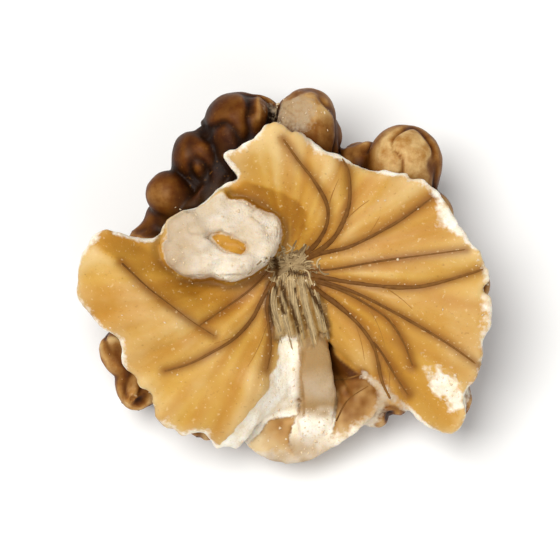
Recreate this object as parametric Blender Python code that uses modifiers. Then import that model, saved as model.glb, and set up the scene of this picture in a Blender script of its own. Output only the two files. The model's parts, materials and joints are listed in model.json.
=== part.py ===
"""Half of a shelled walnut kernel, lying on its ridged back with the veined inner face up.

The kernel is one piece of seed flesh: a scalloped face that fans out from the scar where
the seed was attached, a broken oval bridge that once joined it to the other half, and a
back of knobbly folds. Lengths are in millimetres and are turned to metres when a mesh is
made. The face is drawn in its own plane, X to the right and Y up, and then tips forward.
"""

import math

import bmesh
import bpy
import numpy as np
from mathutils import Matrix

MM = 0.001

# Driving dimensions
FACE_TIP_DEG = 10.0  # how far the inner face leans towards -Y
FLESH_AT_SCAR = 2.6  # thickness of the face around the scar
FLESH_AT_RIM = 1.5  # thickness of the face at its rim
FOLD_RADIUS = 2.1  # half the width of a fold of the back
FOLD_KNOBS = 0.14  # how much thicker and thinner a fold gets along its length
FOLD_MEANDER = 0.075  # how far it strays sideways, in parts of the back's radius
FOLDS_PER_LOBE = 7
FOLD_ROW = 0.81  # where the outermost folds of a lobe start along the groove, in such parts
FOLD_LOW = -7.9  # height of the lowest folds' centre lines under the scar
GROOVE_DEG = 150.0  # direction of the groove between the two lobes of the back
FOOT_CUT = 0.45  # how much the lowest folds are flattened where they rest
VOXEL = 0.36  # resolution at which the pieces of flesh grow together
TRIANGLES = 10400  # what the finished kernel may have

# The rim of the inner face, anticlockwise from the right, as seen from above
FACE_RIM = [
    (16.2, 0.3), (15.0, 2.2), (13.7, 4.0), (12.4, 6.2), (10.0, 7.8), (8.2, 8.1),
    (6.3, 8.6), (3.4, 9.7), (1.6, 10.9), (-1.3, 12.3), (-2.9, 10.9), (-5.4, 9.6),
    (-4.3, 7.9), (-5.9, 6.8), (-7.2, 5.6), (-10.0, 4.1), (-11.4, 2.6), (-15.2, 3.3),
    (-16.6, 1.8), (-17.5, -0.5), (-16.9, -2.9), (-15.9, -4.4), (-14.5, -5.6),
    (-14.2, -7.0), (-13.4, -9.0), (-11.6, -10.7), (-10.5, -12.3), (-9.2, -13.5),
    (-7.6, -13.5), (-5.8, -14.9), (-4.4, -14.8), (-2.8, -13.4), (-1.7, -12.1),
    (0.8, -11.5), (0.8, -8.9), (0.5, -6.9), (1.8, -6.0), (3.2, -5.6), (4.4, -7.2),
    (6.6, -9.0), (9.6, -11.4), (11.9, -13.4), (13.7, -13.7), (14.8, -12.2),
    (14.6, -10.3), (15.4, -8.7), (16.2, -6.0), (16.7, -2.9),
]  # fmt: skip

# Heights of the face above its own plane, at places across it
FACE_HEIGHTS = [
    # around the scar
    (0.0, 0.0, -1.0), (3.0, 0.2, 0.0), (1.8, -2.5, -0.6), (-2.0, -1.8, -0.2),
    (1.2, -6.0, -1.8), (3.2, -5.6, -1.6),
    # the right fan, hollow below and curling up at the rim
    (7.0, 0.6, 1.1), (11.5, 0.6, 1.7), (16.5, 0.3, 2.6), (6.5, 3.6, 1.5),
    (10.5, 4.8, 2.2), (12.4, 6.2, 2.8), (9.6, 7.6, 3.1), (8.0, -3.0, 0.9),
    (12.5, -3.8, 1.4), (17.0, -3.5, 2.2), (12.8, -7.8, 0.9), (16.0, -8.5, 1.4),
    (8.8, -7.4, -0.9), (5.2, -7.6, -1.4), (12.2, -11.6, -1.4), (13.7, -13.6, -0.9),
    (15.0, -11.0, 0.8),
    # the upper petal and the hollow between it and the bridge
    (6.3, 8.4, 1.7), (4.3, 5.6, 1.9), (2.6, 3.6, 0.8), (3.2, 8.6, 3.0), (1.6, 10.8, 3.7),
    (-1.3, 12.2, 4.0), (-1.6, 9.6, 3.3), (-5.2, 9.4, 3.3), (-0.8, 6.0, 0.9),
    (0.2, 3.4, -0.1), (-4.2, 7.4, 1.4),
    # under the bridge
    (-5.2, 2.5, 0.4), (-9.8, 3.6, 0.8),
    # the left lobe: a trough by the bridge, a crest, and a face that falls outwards
    (-4.6, -2.0, -0.1), (-8.0, -1.4, 0.5), (-12.4, 1.8, 2.4), (-15.2, 3.1, 3.9),
    (-14.1, 0.6, 4.0), (-11.6, -1.7, 3.5), (-8.9, -3.6, 2.7), (-6.3, -5.6, 1.7),
    (-17.7, -0.5, 3.1), (-16.0, -4.2, 2.3), (-14.3, -6.6, 1.5), (-12.4, -9.6, 0.5),
    (-9.8, -12.8, -0.4), (-7.0, -13.6, -0.6), (-10.4, -6.6, 1.9), (-6.2, -9.4, 1.0),
    (-3.2, -5.6, 0.5), (-2.0, -9.6, 0.5), (-4.4, -12.4, 0.0),
    # the slanting break along its right side
    (0.6, -7.4, -1.8), (0.7, -10.6, -2.6), (-1.4, -12.2, -2.6), (-4.6, -14.8, -2.2),
]  # fmt: skip

PLEATS = 13  # shallow pleats that fan out from the scar, all the way round
PLEAT_HEIGHT = 0.15
RUFFLE_HEIGHT = 0.28  # small waves of the rim itself

# The bridge that was broken off: an oval ring with a slit in the middle
BRIDGE_CENTRE = (-5.4, 2.4)
BRIDGE_HALF_AXES = (3.3, 2.1)
BRIDGE_TURN_DEG = 9.0
BRIDGE_WALL = (1.75, 1.55)  # half its width at the ends and at the sides
BRIDGE_TOP = 2.7  # height of its broken top at the centre
BRIDGE_SLOPE = (-0.05, -0.10)  # how the broken top falls along X and Y
BRIDGE_ROUGHNESS = 0.18
BRIDGE_FOOT = -1.2  # its lower end, inside the flesh

# The blade of flesh that stands in the notch, and its width and thickness
BLADE_LINE = [(1.8, -5.4, -1.6), (2.1, -8.0, -1.5), (2.5, -10.8, -2.3), (1.7, -14.2, -3.6)]
BLADE_SIZE = (2.9, 1.4)

# The shallow lobe below the notch: its middle and its rim
CUP_MIDDLE = (1.6, -9.6, -3.5)
CUP_RIM = [
    (7.8, -8.6, -1.3), (7.9, -10.4, -1.2), (6.8, -12.4, -1.9), (4.6, -14.2, -2.5),
    (1.6, -16.0, -2.9), (-1.4, -15.9, -3.1), (-3.6, -14.4, -3.3), (-4.4, -11.0, -3.4),
    (-3.6, -7.0, -3.4), (0.0, -4.6, -3.4), (4.4, -5.4, -2.8),
]  # fmt: skip
CUP_FLESH = 1.5

# Dry strands that lie over the scar, from their root to their tip
STRAND_LINES = [
    ((-0.9, 0.4), (-1.4, -2.6), (-0.7, -5.4)),
    ((-0.4, 0.6), (-0.5, -2.8), (0.2, -5.9)),
    ((0.2, 0.7), (0.4, -2.8), (1.1, -6.1)),
    ((0.8, 0.6), (1.3, -2.6), (2.1, -5.9)),
    ((1.3, 0.4), (2.2, -2.2), (3.0, -5.1)),
]
STRAND_RADIUS = 0.45

# Where the folds of the back end under the face: a line round the kernel through their tips
BACK_RIM = [
    (14.4, 0.0, -0.7), (12.4, 3.8, -0.8), (10.2, 7.4, -1.9), (7.0, 9.4, -2.7),
    (1.6, 12.4, -2.5), (-4.2, 12.6, -2.7), (-7.8, 9.4, -2.9), (-10.8, 5.2, -2.3),
    (-14.8, 1.0, 0.5), (-15.2, -3.2, 0.1), (-14.4, -8.0, -1.7), (-11.4, -11.6, -2.8),
    (-4.0, -14.2, -4.5), (1.6, -15.0, -5.2), (5.8, -12.4, -4.6), (8.6, -9.8, -3.5),
    (12.6, -10.4, -2.0), (14.6, -6.0, -1.0),
]  # fmt: skip

# The solid flesh between the face and the folds
BODY_REACH = 0.84  # how far it reaches towards that line
BODY_BELOW_FACE = 1.3  # its top under the face
BODY_ABOVE_RIM = 1.0  # and above that line, beyond the rim of the face
BODY_SLOPE = 2.2  # the distance over which it falls from the one to the other
CLEFT_DEPTH = 0.7  # how far its underside lies above the centre lines of the folds

# Stout ends of folds that show behind the face: their lines and their radii
KNOBS = [
    ([(1.7, 7.0, -4.2), (1.5, 11.0, -3.0), (1.3, 15.3, -2.4)], 2.5),
    ([(8.4, 5.0, -4.2), (9.4, 8.0, -3.2), (9.9, 12.1, -2.6)], 3.1),
    ([(-3.6, 6.6, -4.6), (-4.1, 10.4, -3.8), (-4.3, 14.9, -3.2)], 2.9),
    ([(-5.4, 4.4, -4.4), (-6.8, 7.4, -3.6), (-7.9, 11.2, -3.2)], 1.7),
    ([(-6.5, 3.6, -4.6), (-9.0, 5.6, -3.6), (-11.4, 7.6, -3.0)], 1.9),
    ([(12.0, -5.0, -3.6), (13.0, -8.6, -2.6), (13.9, -12.4, -1.9)], 1.6),
]


def smooth_curve(points, steps, closed):
    """Catmull-Rom curve through the points, with so many steps from each to the next."""
    p = np.array(points, float)
    if closed:
        p = np.vstack([p[-1:], p, p[:2]])
    else:
        p = np.vstack([2 * p[0] - p[1], p, 2 * p[-1] - p[-2]])
    t = np.arange(steps)[:, None] / steps
    spans = []
    for a, b, c, d in zip(p, p[1:], p[2:], p[3:], strict=False):
        square = 2 * a - 5 * b + 4 * c - d
        cube = 3 * b - a - 3 * c + d
        spans.append(0.5 * (2 * b + (c - a) * t + square * t**2 + cube * t**3))
    return np.vstack(spans if closed else [*spans, p[-2:-1]])


def at_bearing(line, bearing):
    """The points of a closed line round the scar that lie in the given directions from it."""
    round_it = np.unwrap(np.arctan2(line[:, 1], line[:, 0]))
    return np.column_stack([np.interp(bearing, round_it, c, period=2 * math.pi) for c in line.T])


class HeightField:
    """The thin-plate spline through a few known heights: the surface that bends least."""

    def __init__(self, heights):
        known = np.array(heights, float)
        self.places = known[:, :2]
        n = len(known)
        bend = self.kernel(self.places)
        flat = np.hstack([np.ones((n, 1)), self.places])
        system = np.block([[bend, flat], [flat.T, np.zeros((3, 3))]])
        self.weights = np.linalg.solve(system, np.append(known[:, 2], np.zeros(3)))

    def kernel(self, xy):
        r2 = ((xy[:, None] - self.places) ** 2).sum(-1)
        return 0.5 * r2 * np.log(np.maximum(r2, 1e-12))

    def at(self, xy):
        n = len(self.places)
        return self.kernel(xy) @ self.weights[:n] + self.weights[n] + xy @ self.weights[n + 1 :]


FACE = HeightField(FACE_HEIGHTS)


def face_height(xy):
    """The height field with shallow pleats that fan out from the scar."""
    far = np.hypot(*xy.T)
    bearing = np.arctan2(xy[:, 1], xy[:, 0])
    pleat = np.sin(PLEATS * bearing + 0.8 * np.sin(3 * bearing))
    return FACE.at(xy) + PLEAT_HEIGHT * np.clip(far / 10, 0, 1) ** 1.5 * pleat


def squared(wave, power):
    """A sine or cosine whose round turns are pressed towards square ones."""
    return np.sign(wave) * np.abs(wave) ** power


def tip_forward(p):
    """Turns points of the face's own frame about X, so that the face leans towards -Y."""
    a = math.radians(FACE_TIP_DEG)
    turn = np.array([[1, 0, 0], [0, math.cos(a), -math.sin(a)], [0, math.sin(a), math.cos(a)]])
    return np.asarray(p, float) @ turn.T


def sheet(name, across, out, place, closed=False):
    """A grid whose corner (u, s) moves to place(u, s); its seams and poles are welded.

    An open sheet is left with its upper side facing up, a closed one with all faces out.
    """
    bm = bmesh.new()
    bmesh.ops.create_grid(bm, x_segments=across, y_segments=out, size=0.5)
    us = np.array([v.co[:2] for v in bm.verts]) + 0.5
    for vert, p in zip(bm.verts, place(us[:, 0], us[:, 1]), strict=True):
        vert.co = p * MM
    bmesh.ops.remove_doubles(bm, verts=bm.verts, dist=0.01 * MM)
    if closed:
        bmesh.ops.holes_fill(bm, edges=bm.edges)
    bmesh.ops.recalc_face_normals(bm, faces=bm.faces)
    bm.normal_update()
    if not closed and sum(f.normal.z for f in bm.faces) < 0:
        bmesh.ops.reverse_faces(bm, faces=bm.faces)
    mesh = bpy.data.meshes.new(name)
    bm.to_mesh(mesh)
    bm.free()
    obj = bpy.data.objects.new(name, mesh)
    growing.objects.link(obj)
    return obj


def thicken(obj, at_middle, at_rim, weight):
    """Solidify downwards, at_middle thick where weight is 0 and at_rim thick where it is 1."""
    group = obj.vertex_groups.new(name="flesh")
    for index, w in enumerate(weight(np.array([v.co[:2] for v in obj.data.vertices]) / MM)):
        group.add([index], 1 - w * (1 - at_rim / at_middle), "REPLACE")
    solid = obj.modifiers.new("flesh", "SOLIDIFY")
    solid.thickness = at_middle * MM
    solid.offset = -1
    solid.vertex_group = group.name


def face_sheet():
    """The inner face: straight out from the scar to the rim, on the height field."""
    rim = smooth_curve(FACE_RIM, 12, closed=True)
    count = len(rim)

    def place(u, s):
        index = u * count
        low = np.floor(index).astype(int)
        part = (index - low)[:, None]
        edge = rim[low % count] * (1 - part) + rim[(low + 1) % count] * part
        xy = edge * s[:, None]
        ruffle = RUFFLE_HEIGHT * s**4 * np.sin(46 * math.pi * u) * np.sin(14 * math.pi * u + 1.0)
        z = face_height(xy) + ruffle
        return tip_forward(np.column_stack([xy, z]))

    obj = sheet("face", count // 2 + 1, 26, place)
    thicken(obj, FLESH_AT_SCAR, FLESH_AT_RIM, lambda xy: np.clip(np.hypot(*xy.T) / 12 - 0.2, 0, 1))


def cup_sheet():
    """The lobe under the notch: a shallow dish between its middle and its rim."""
    rim = smooth_curve(CUP_RIM, 8, closed=True)
    count = len(rim)
    middle = np.array(CUP_MIDDLE)

    def place(u, s):
        edge = rim[np.round(u * count).astype(int) % count]
        p = middle + (edge - middle) * s[:, None]
        p[:, 2] = middle[2] + (edge[:, 2] - middle[2]) * s**2
        return tip_forward(p)

    obj = sheet("cup", count + 1, 10, place)
    thicken(obj, CUP_FLESH, CUP_FLESH, lambda xy: np.zeros(len(xy)))


def tube(name, line, radii):
    """A tube of the given radii along a line of points, rounded off like a ball at both ends."""
    far = np.append(0, np.cumsum(np.linalg.norm(np.diff(line, axis=0), axis=1)))
    near = np.clip(np.minimum(far, far[-1] - far) / radii, 0, 1)
    radii = radii * np.sqrt(np.maximum(1 - (1 - near) ** 2, 0.03))
    data = bpy.data.curves.new(name, "CURVE")
    data.dimensions = "3D"
    data.bevel_depth = MM
    data.bevel_resolution = 3
    data.use_fill_caps = True
    spline = data.splines.new("POLY")
    spline.points.add(len(line) - 1)
    for point, p, r in zip(spline.points, line, radii, strict=True):
        point.co = (*(p * MM), 1)
        point.radius = r
    growing.objects.link(bpy.data.objects.new(name, data))


def bridge():
    """The broken bridge: a wall carried round an oval and cut off level at its rough top."""
    turn = math.radians(BRIDGE_TURN_DEG)
    axes = np.array(BRIDGE_HALF_AXES)

    def place(u, s):
        a = 2 * math.pi * u
        centre = np.column_stack([axes[0] * np.cos(a), axes[1] * np.sin(a)])
        out = np.column_stack([np.cos(a) / axes[0], np.sin(a) / axes[1]])
        out /= np.linalg.norm(out, axis=1)[:, None]
        wall = BRIDGE_WALL[1] + (BRIDGE_WALL[0] - BRIDGE_WALL[1]) * np.cos(a) ** 2
        b = 2 * math.pi * s
        wide = squared(np.cos(b), 0.7) * wall * (1 + 0.07 * np.sin(5 * a + 0.6))
        xy = centre + out * wide[:, None]
        x = xy[:, 0] * math.cos(turn) - xy[:, 1] * math.sin(turn)
        y = xy[:, 0] * math.sin(turn) + xy[:, 1] * math.cos(turn)
        top = BRIDGE_TOP + BRIDGE_SLOPE[0] * x + BRIDGE_SLOPE[1] * y
        top += BRIDGE_ROUGHNESS * (np.sin(2.3 * x + 1.1 * y) + 0.8 * np.sin(3.7 * y - 1.9 * x))
        z = (top + BRIDGE_FOOT) / 2 + squared(np.sin(b), 0.35) * (top - BRIDGE_FOOT) / 2
        return tip_forward(np.column_stack([x + BRIDGE_CENTRE[0], y + BRIDGE_CENTRE[1], z]))

    sheet("bridge", 61, 29, place, closed=True)


def blade():
    """The upright flake in the notch: a wide, thin tube along its own line."""
    line = smooth_curve(BLADE_LINE, 8, closed=False)
    half = np.array(BLADE_SIZE) / 2

    def place(u, s):
        index = np.round(u * (len(line) - 1)).astype(int)
        along = np.gradient(line, axis=0)[index]
        side = np.column_stack([-along[:, 1], along[:, 0], np.zeros(len(u))])
        side /= np.linalg.norm(side, axis=1)[:, None]
        end = np.sqrt(np.clip(1 - np.abs(2 * u - 1) ** 8, 0.04, 1))[:, None]
        a = (2 * math.pi * s)[:, None]
        up = np.array([0, 0, 1.0])
        ring = side * half[0] * squared(np.cos(a), 0.8) + up * half[1] * squared(np.sin(a), 0.4)
        return tip_forward(line[index] + end * ring)

    sheet("blade", len(line), 17, place, closed=True)


def strands():
    """Strands over the scar, each half sunk in the face."""
    for index, (root, middle, tip) in enumerate(STRAND_LINES):
        xy = smooth_curve([root, middle, tip], 7, closed=False)
        line = tip_forward(np.column_stack([xy, FACE.at(xy) + 0.12]))
        tube(f"strand_{index}", line, np.full(len(line), STRAND_RADIUS))


def back_point(along, across):
    """A place on the bowl of the back, above the point (along, across) of its plan.

    The plan is a disc of radius 1 that is stretched to the rim line at every bearing.
    From the rim line the bowl drops to its lowest level in the middle.
    """
    bearing = np.arctan2(across, along)
    reach = np.clip(np.hypot(along, across), 0, 1)
    edge = tip_forward(at_bearing(smooth_curve(BACK_RIM, 10, closed=True), bearing))
    low = edge * reach[:, None]
    drop = (1 - reach**3) ** (1 / 1.6)
    low[:, 2] = edge[:, 2] + (FOLD_LOW - edge[:, 2]) * drop
    return low


def back_folds():
    """Knobbly folds that run from the groove down the middle of the back out to its rim."""
    groove = math.radians(GROOVE_DEG)
    t = np.linspace(0, 1, 28)
    for side in (-1, 1):
        for index, offset in enumerate(np.linspace(-FOLD_ROW, FOLD_ROW, FOLDS_PER_LOBE)):
            phase = 1.9 * index + side
            stray = FOLD_MEANDER * np.sin(2 * math.pi * (0.95 * t + 0.17 * phase))
            along = offset * (1 + 0.1 * t) + stray
            across = side * math.sqrt(1 - offset**2) * t
            x = along * math.cos(groove) - across * math.sin(groove)
            y = along * math.sin(groove) + across * math.cos(groove)
            knobby = 1 + FOLD_KNOBS * np.sin(2 * math.pi * (3.1 * t + 0.31 * phase))
            tube(f"fold_{side}_{index}", back_point(x, y), FOLD_RADIUS * knobby)


def body():
    """The solid flesh between the face and the folds of the back."""
    face_rim = smooth_curve(FACE_RIM, 12, closed=True)

    def place(u, s):
        bearing = 2 * math.pi * u
        reach = BODY_REACH * np.sin(math.pi * s)
        below = back_point(reach * np.cos(bearing), reach * np.sin(bearing))
        below[:, 2] += CLEFT_DEPTH
        under_face = np.column_stack([below[:, :2], FACE.at(below[:, :2]) - BODY_BELOW_FACE])
        over_rim = back_point(np.cos(bearing), np.sin(bearing)) + BODY_ABOVE_RIM
        past = np.hypot(*below[:, :2].T) - np.hypot(*at_bearing(face_rim, bearing).T)
        fall = np.clip(past / BODY_SLOPE + 1, 0, 1)
        fall = fall * fall * (3 - 2 * fall)
        top = tip_forward(under_face)[:, 2] * (1 - fall) + over_rim[:, 2] * fall
        upper = s < 0.5
        below[upper, 2] = np.maximum(top, below[:, 2] + 0.5)[upper]
        return below

    sheet("body", 73, 41, place, closed=True)


def knobs():
    """The thick fold ends behind the face and under its right tip."""
    for index, (points, radius) in enumerate(KNOBS):
        line = tip_forward(smooth_curve(points, 9, closed=False))
        tube(f"knob_{index}", line, np.full(len(line), radius))


def grow_together():
    """Joins the evaluated pieces in one mesh, and removes them and their collection."""
    bpy.context.view_layer.update()
    graph = bpy.context.evaluated_depsgraph_get()
    whole = bmesh.new()
    for piece in list(growing.objects):
        part = bpy.data.meshes.new_from_object(piece.evaluated_get(graph))
        part.transform(piece.matrix_world)
        whole.from_mesh(part)
        bpy.data.meshes.remove(part)
        bpy.data.objects.remove(piece)
    bpy.data.collections.remove(growing)
    mesh = bpy.data.meshes.new("walnut_kernel")
    whole.to_mesh(mesh)
    whole.free()
    return bpy.data.objects.new("walnut_kernel", mesh)


def baked(obj):
    """The object's mesh with its modifiers applied."""
    bpy.context.view_layer.update()
    graph = bpy.context.evaluated_depsgraph_get()
    return bpy.data.meshes.new_from_object(obj.evaluated_get(graph))


for old in list(bpy.data.objects):
    bpy.data.objects.remove(old)
kernel_parts = bpy.data.collections.new("walnut kernel")
growing = bpy.data.collections.new("flesh before it is joined")
cutters = bpy.data.collections.new("cutters")
for collection in (kernel_parts, growing, cutters):
    bpy.context.scene.collection.children.link(collection)

face_sheet()
cup_sheet()
bridge()
blade()
strands()
back_folds()
knobs()
body()
kernel = grow_together()
kernel_parts.objects.link(kernel)

# The pieces overlap, and grow into one closed skin
remesh = kernel.modifiers.new("one body", "REMESH")
remesh.mode = "VOXEL"
remesh.voxel_size = VOXEL * MM
relax = kernel.modifiers.new("soften the voxels", "SMOOTH")
relax.factor = 0.5
relax.iterations = 2
joined = baked(kernel)
kernel.modifiers.clear()
kernel.data = joined
thin = kernel.modifiers.new("fewer faces", "DECIMATE")
thin.ratio = TRIANGLES / (2 * len(joined.polygons))
thin.use_collapse_triangulate = True
kernel.data = baked(kernel)
kernel.modifiers.clear()

# The origin is in the middle of the outline, on the resting plane
corners = np.array([v.co for v in kernel.data.vertices])
low, high = corners.min(axis=0), corners.max(axis=0)
middle = (low + high) / 2
kernel.data.transform(Matrix.Translation((-middle[0], -middle[1], -low[2] - FOOT_CUT * MM)))

# Flattens the lowest folds on the plane that the kernel rests on
bm = bmesh.new()
bmesh.ops.create_cube(bm, size=1.0)
table_mesh = bpy.data.meshes.new("table_cutter")
bm.to_mesh(table_mesh)
bm.free()
table = bpy.data.objects.new("table_cutter", table_mesh)
table.scale = (60 * MM, 60 * MM, 10 * MM)
table.location.z = -5 * MM
table.hide_render = True
table.display_type = "WIRE"
cutters.objects.link(table)
rest = kernel.modifiers.new("resting folds", "BOOLEAN")
rest.operation = "DIFFERENCE"
rest.object = table

skin = bpy.data.materials.new("walnut skin")
skin.use_nodes = True
shader = skin.node_tree.nodes["Principled BSDF"]
shader.inputs["Base Color"].default_value = (0.56, 0.33, 0.10, 1)
shader.inputs["Roughness"].default_value = 0.45
shader.inputs["Metallic"].default_value = 0.0
kernel.data.materials.append(skin)
kernel.data.shade_smooth()
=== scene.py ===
# %% [markdown]
# # Half of a shelled walnut kernel
#
# A walnut half is one piece of seed flesh in a thin, golden brown skin. Seen from its
# inner face it looks like a ruffled flower: petals of flesh fan out from the scar where the
# seed was fixed in the shell, dark veins run out from the same place, and an oval stump
# shows where the half was broken from its twin. Its back is a bowl of knobbly folds.
#
# The measured solid is loaded first, as a fixed frame. The whole kernel is then made again
# on the same dimensions, finer than the solid, so that rims, clefts and broken flesh can
# have the detail that the eye expects at a hand's distance.

# %% Load the measured frame
import json
import math

import bmesh
import bpy
import numpy as np
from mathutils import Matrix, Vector
from mathutils.bvhtree import BVHTree

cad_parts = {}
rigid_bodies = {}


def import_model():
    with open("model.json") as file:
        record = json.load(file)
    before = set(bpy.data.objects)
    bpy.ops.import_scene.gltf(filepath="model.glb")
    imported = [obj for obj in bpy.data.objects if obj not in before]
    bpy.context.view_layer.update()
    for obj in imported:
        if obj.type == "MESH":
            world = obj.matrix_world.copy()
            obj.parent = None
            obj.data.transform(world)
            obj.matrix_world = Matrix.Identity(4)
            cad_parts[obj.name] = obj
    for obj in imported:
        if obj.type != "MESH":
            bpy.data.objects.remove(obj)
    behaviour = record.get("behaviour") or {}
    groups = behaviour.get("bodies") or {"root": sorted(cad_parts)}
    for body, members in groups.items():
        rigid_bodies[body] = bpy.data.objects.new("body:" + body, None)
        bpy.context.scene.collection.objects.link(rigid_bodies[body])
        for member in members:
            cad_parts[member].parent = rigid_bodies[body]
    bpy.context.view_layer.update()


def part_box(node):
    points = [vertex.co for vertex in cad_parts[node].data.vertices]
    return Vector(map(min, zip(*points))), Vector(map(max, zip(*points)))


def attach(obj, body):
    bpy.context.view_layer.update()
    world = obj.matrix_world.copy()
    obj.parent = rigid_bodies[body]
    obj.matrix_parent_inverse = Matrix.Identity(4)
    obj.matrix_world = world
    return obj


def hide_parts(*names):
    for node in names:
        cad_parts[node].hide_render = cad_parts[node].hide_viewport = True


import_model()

MM = 0.001
low_corner, high_corner = (np.array(c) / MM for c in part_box("walnut_kernel"))
print("solid, mm:", np.round(high_corner - low_corner, 2))

# %% [markdown]
# ## Camera, light and floor
#
# The photographer looked almost straight down on this half, so the camera stands nearly
# overhead and far away, with a long lens that keeps the rim in front and the folds behind
# at the same scale. A large soft box overhead and a pale surround give the flat, bright
# light of a product photograph, and a weaker lamp from the front opens the shadows.

# %% Camera
FACE_TIP_DEG = 10.0  # how far the inner face leans towards -Y
CAMERA_LENS_MM = 220.0
CAMERA_AWAY_M = 0.285
CAMERA_AIM_MM = (-0.4, -0.6, 8.0)

elevation = math.radians(90 - FACE_TIP_DEG)
camera_data = bpy.data.cameras.new("camera")
camera_data.lens = CAMERA_LENS_MM
camera_data.clip_start = 0.01
camera = bpy.data.objects.new("camera", camera_data)
bpy.context.scene.collection.objects.link(camera)
away = Vector((0.0, -math.cos(elevation), math.sin(elevation)))
camera.location = Vector(CAMERA_AIM_MM) * MM + away * CAMERA_AWAY_M
camera.rotation_euler = (-away).to_track_quat("-Z", "Y").to_euler()
bpy.context.scene.camera = camera
print("camera at", np.round(camera.location, 3))


# %% One function for every lamp
def soft_box(name, place, size, watts, tint):
    """A square area lamp that looks at the kernel from a place in metres."""
    data = bpy.data.lights.new(name, "AREA")
    data.shape = "SQUARE"
    data.size = size
    data.energy = watts
    data.color = tint
    lamp = bpy.data.objects.new(name, data)
    lamp.location = place
    lamp.rotation_euler = (-Vector(place)).to_track_quat("-Z", "Y").to_euler()
    bpy.context.scene.collection.objects.link(lamp)
    return lamp


soft_box("key_light", (-0.12, 0.03, 0.37), size=0.24, watts=1.4, tint=(1.0, 0.985, 0.96))
soft_box("front_fill", (0.20, -0.36, 0.34), size=0.40, watts=0.85, tint=(1.0, 1.0, 1.0))

# %% A pale surround, and colours shown as they are
bpy.context.scene.view_settings.view_transform = "Standard"
world = bpy.data.worlds.new("studio")
bpy.context.scene.world = world
world.use_nodes = True
surround = world.node_tree.nodes["Background"]
surround.inputs["Color"].default_value = (1.0, 1.0, 1.0, 1.0)
surround.inputs["Strength"].default_value = 0.27


# %% One function for colours, and one for shader nodes
def linear(hex_colour):
    """An sRGB hex colour as linear red, green, blue and an alpha of 1."""
    srgb = np.array([int(hex_colour[i : i + 2], 16) for i in (1, 3, 5)]) / 255
    light = np.where(srgb <= 0.04045, srgb / 12.92, ((srgb + 0.055) / 1.055) ** 2.4)
    return (*light.tolist(), 1.0)


def node(tree, kind, settings=None, **links):
    """Adds a node with its settings; each link is an input's name and a value or a socket."""
    new = tree.nodes.new(kind)
    for name, value in (settings or {}).items():
        setattr(new, name, value)
    for name, value in links.items():
        key = int(name[1:]) if name[0] == "_" and name[1:].isdigit() else name.replace("_", " ")
        socket = new.inputs[key]
        if isinstance(value, bpy.types.NodeSocket):
            tree.links.new(value, socket)
        else:
            socket.default_value = value
    return new


def new_material(name):
    """An empty node material with its output and its Principled shader."""
    material = bpy.data.materials.new(name)
    material.use_nodes = True
    return material, material.node_tree, material.node_tree.nodes["Principled BSDF"]


# %% Floor: a plain pale sheet under the kernel
floor_mesh = bpy.data.meshes.new("floor")
floor_mesh.from_pydata([(-2, -2, 0), (2, -2, 0), (2, 2, 0), (-2, 2, 0)], [], [(0, 1, 2, 3)])
floor = bpy.data.objects.new("floor", floor_mesh)
bpy.context.scene.collection.objects.link(floor)
paper, tree, shader = new_material("matt_white_card")
shader.inputs["Base Color"].default_value = linear("#fbfbfa")
shader.inputs["Roughness"].default_value = 0.9
floor_mesh.materials.append(paper)

# %% [markdown]
# ## The lines that the kernel is drawn on
#
# Everything starts from a few lines and heights, in millimetres, in the plane of the inner
# face: X to the right, Y away from the notch, and the scar at the origin. Nearly all are the
# solid's own numbers, and only the bridge is drawn closer, with its torn rim. The curves
# between the points are Catmull-Rom curves, and the height of the face is a thin-plate
# spline, the surface that bends least through its known heights.

# %% The rim of the inner face and its heights
FACE_RIM = [
    (16.2, 0.3), (15.0, 2.2), (13.7, 4.0), (12.4, 6.2), (10.0, 7.8), (8.2, 8.1),
    (6.3, 8.6), (3.4, 9.7), (1.6, 10.9), (-1.3, 12.3), (-2.9, 10.9), (-5.4, 9.6),
    (-4.3, 7.9), (-5.9, 6.8), (-7.2, 5.6), (-10.0, 4.1), (-11.4, 2.6), (-15.2, 3.3),
    (-16.6, 1.8), (-17.5, -0.5), (-16.9, -2.9), (-15.9, -4.4), (-14.5, -5.6),
    (-14.2, -7.0), (-13.4, -9.0), (-11.6, -10.7), (-10.5, -12.3), (-9.2, -13.5),
    (-7.6, -13.5), (-5.8, -14.9), (-4.4, -14.8), (-2.8, -13.4), (-1.7, -12.1),
    (0.8, -11.5), (0.8, -8.9), (0.5, -6.9), (1.8, -6.0), (3.2, -5.6), (4.4, -7.2),
    (6.6, -9.0), (9.6, -11.4), (11.9, -13.4), (13.7, -13.7), (14.8, -12.2),
    (14.6, -10.3), (15.4, -8.7), (16.2, -6.0), (16.7, -2.9),
]  # fmt: skip
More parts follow.
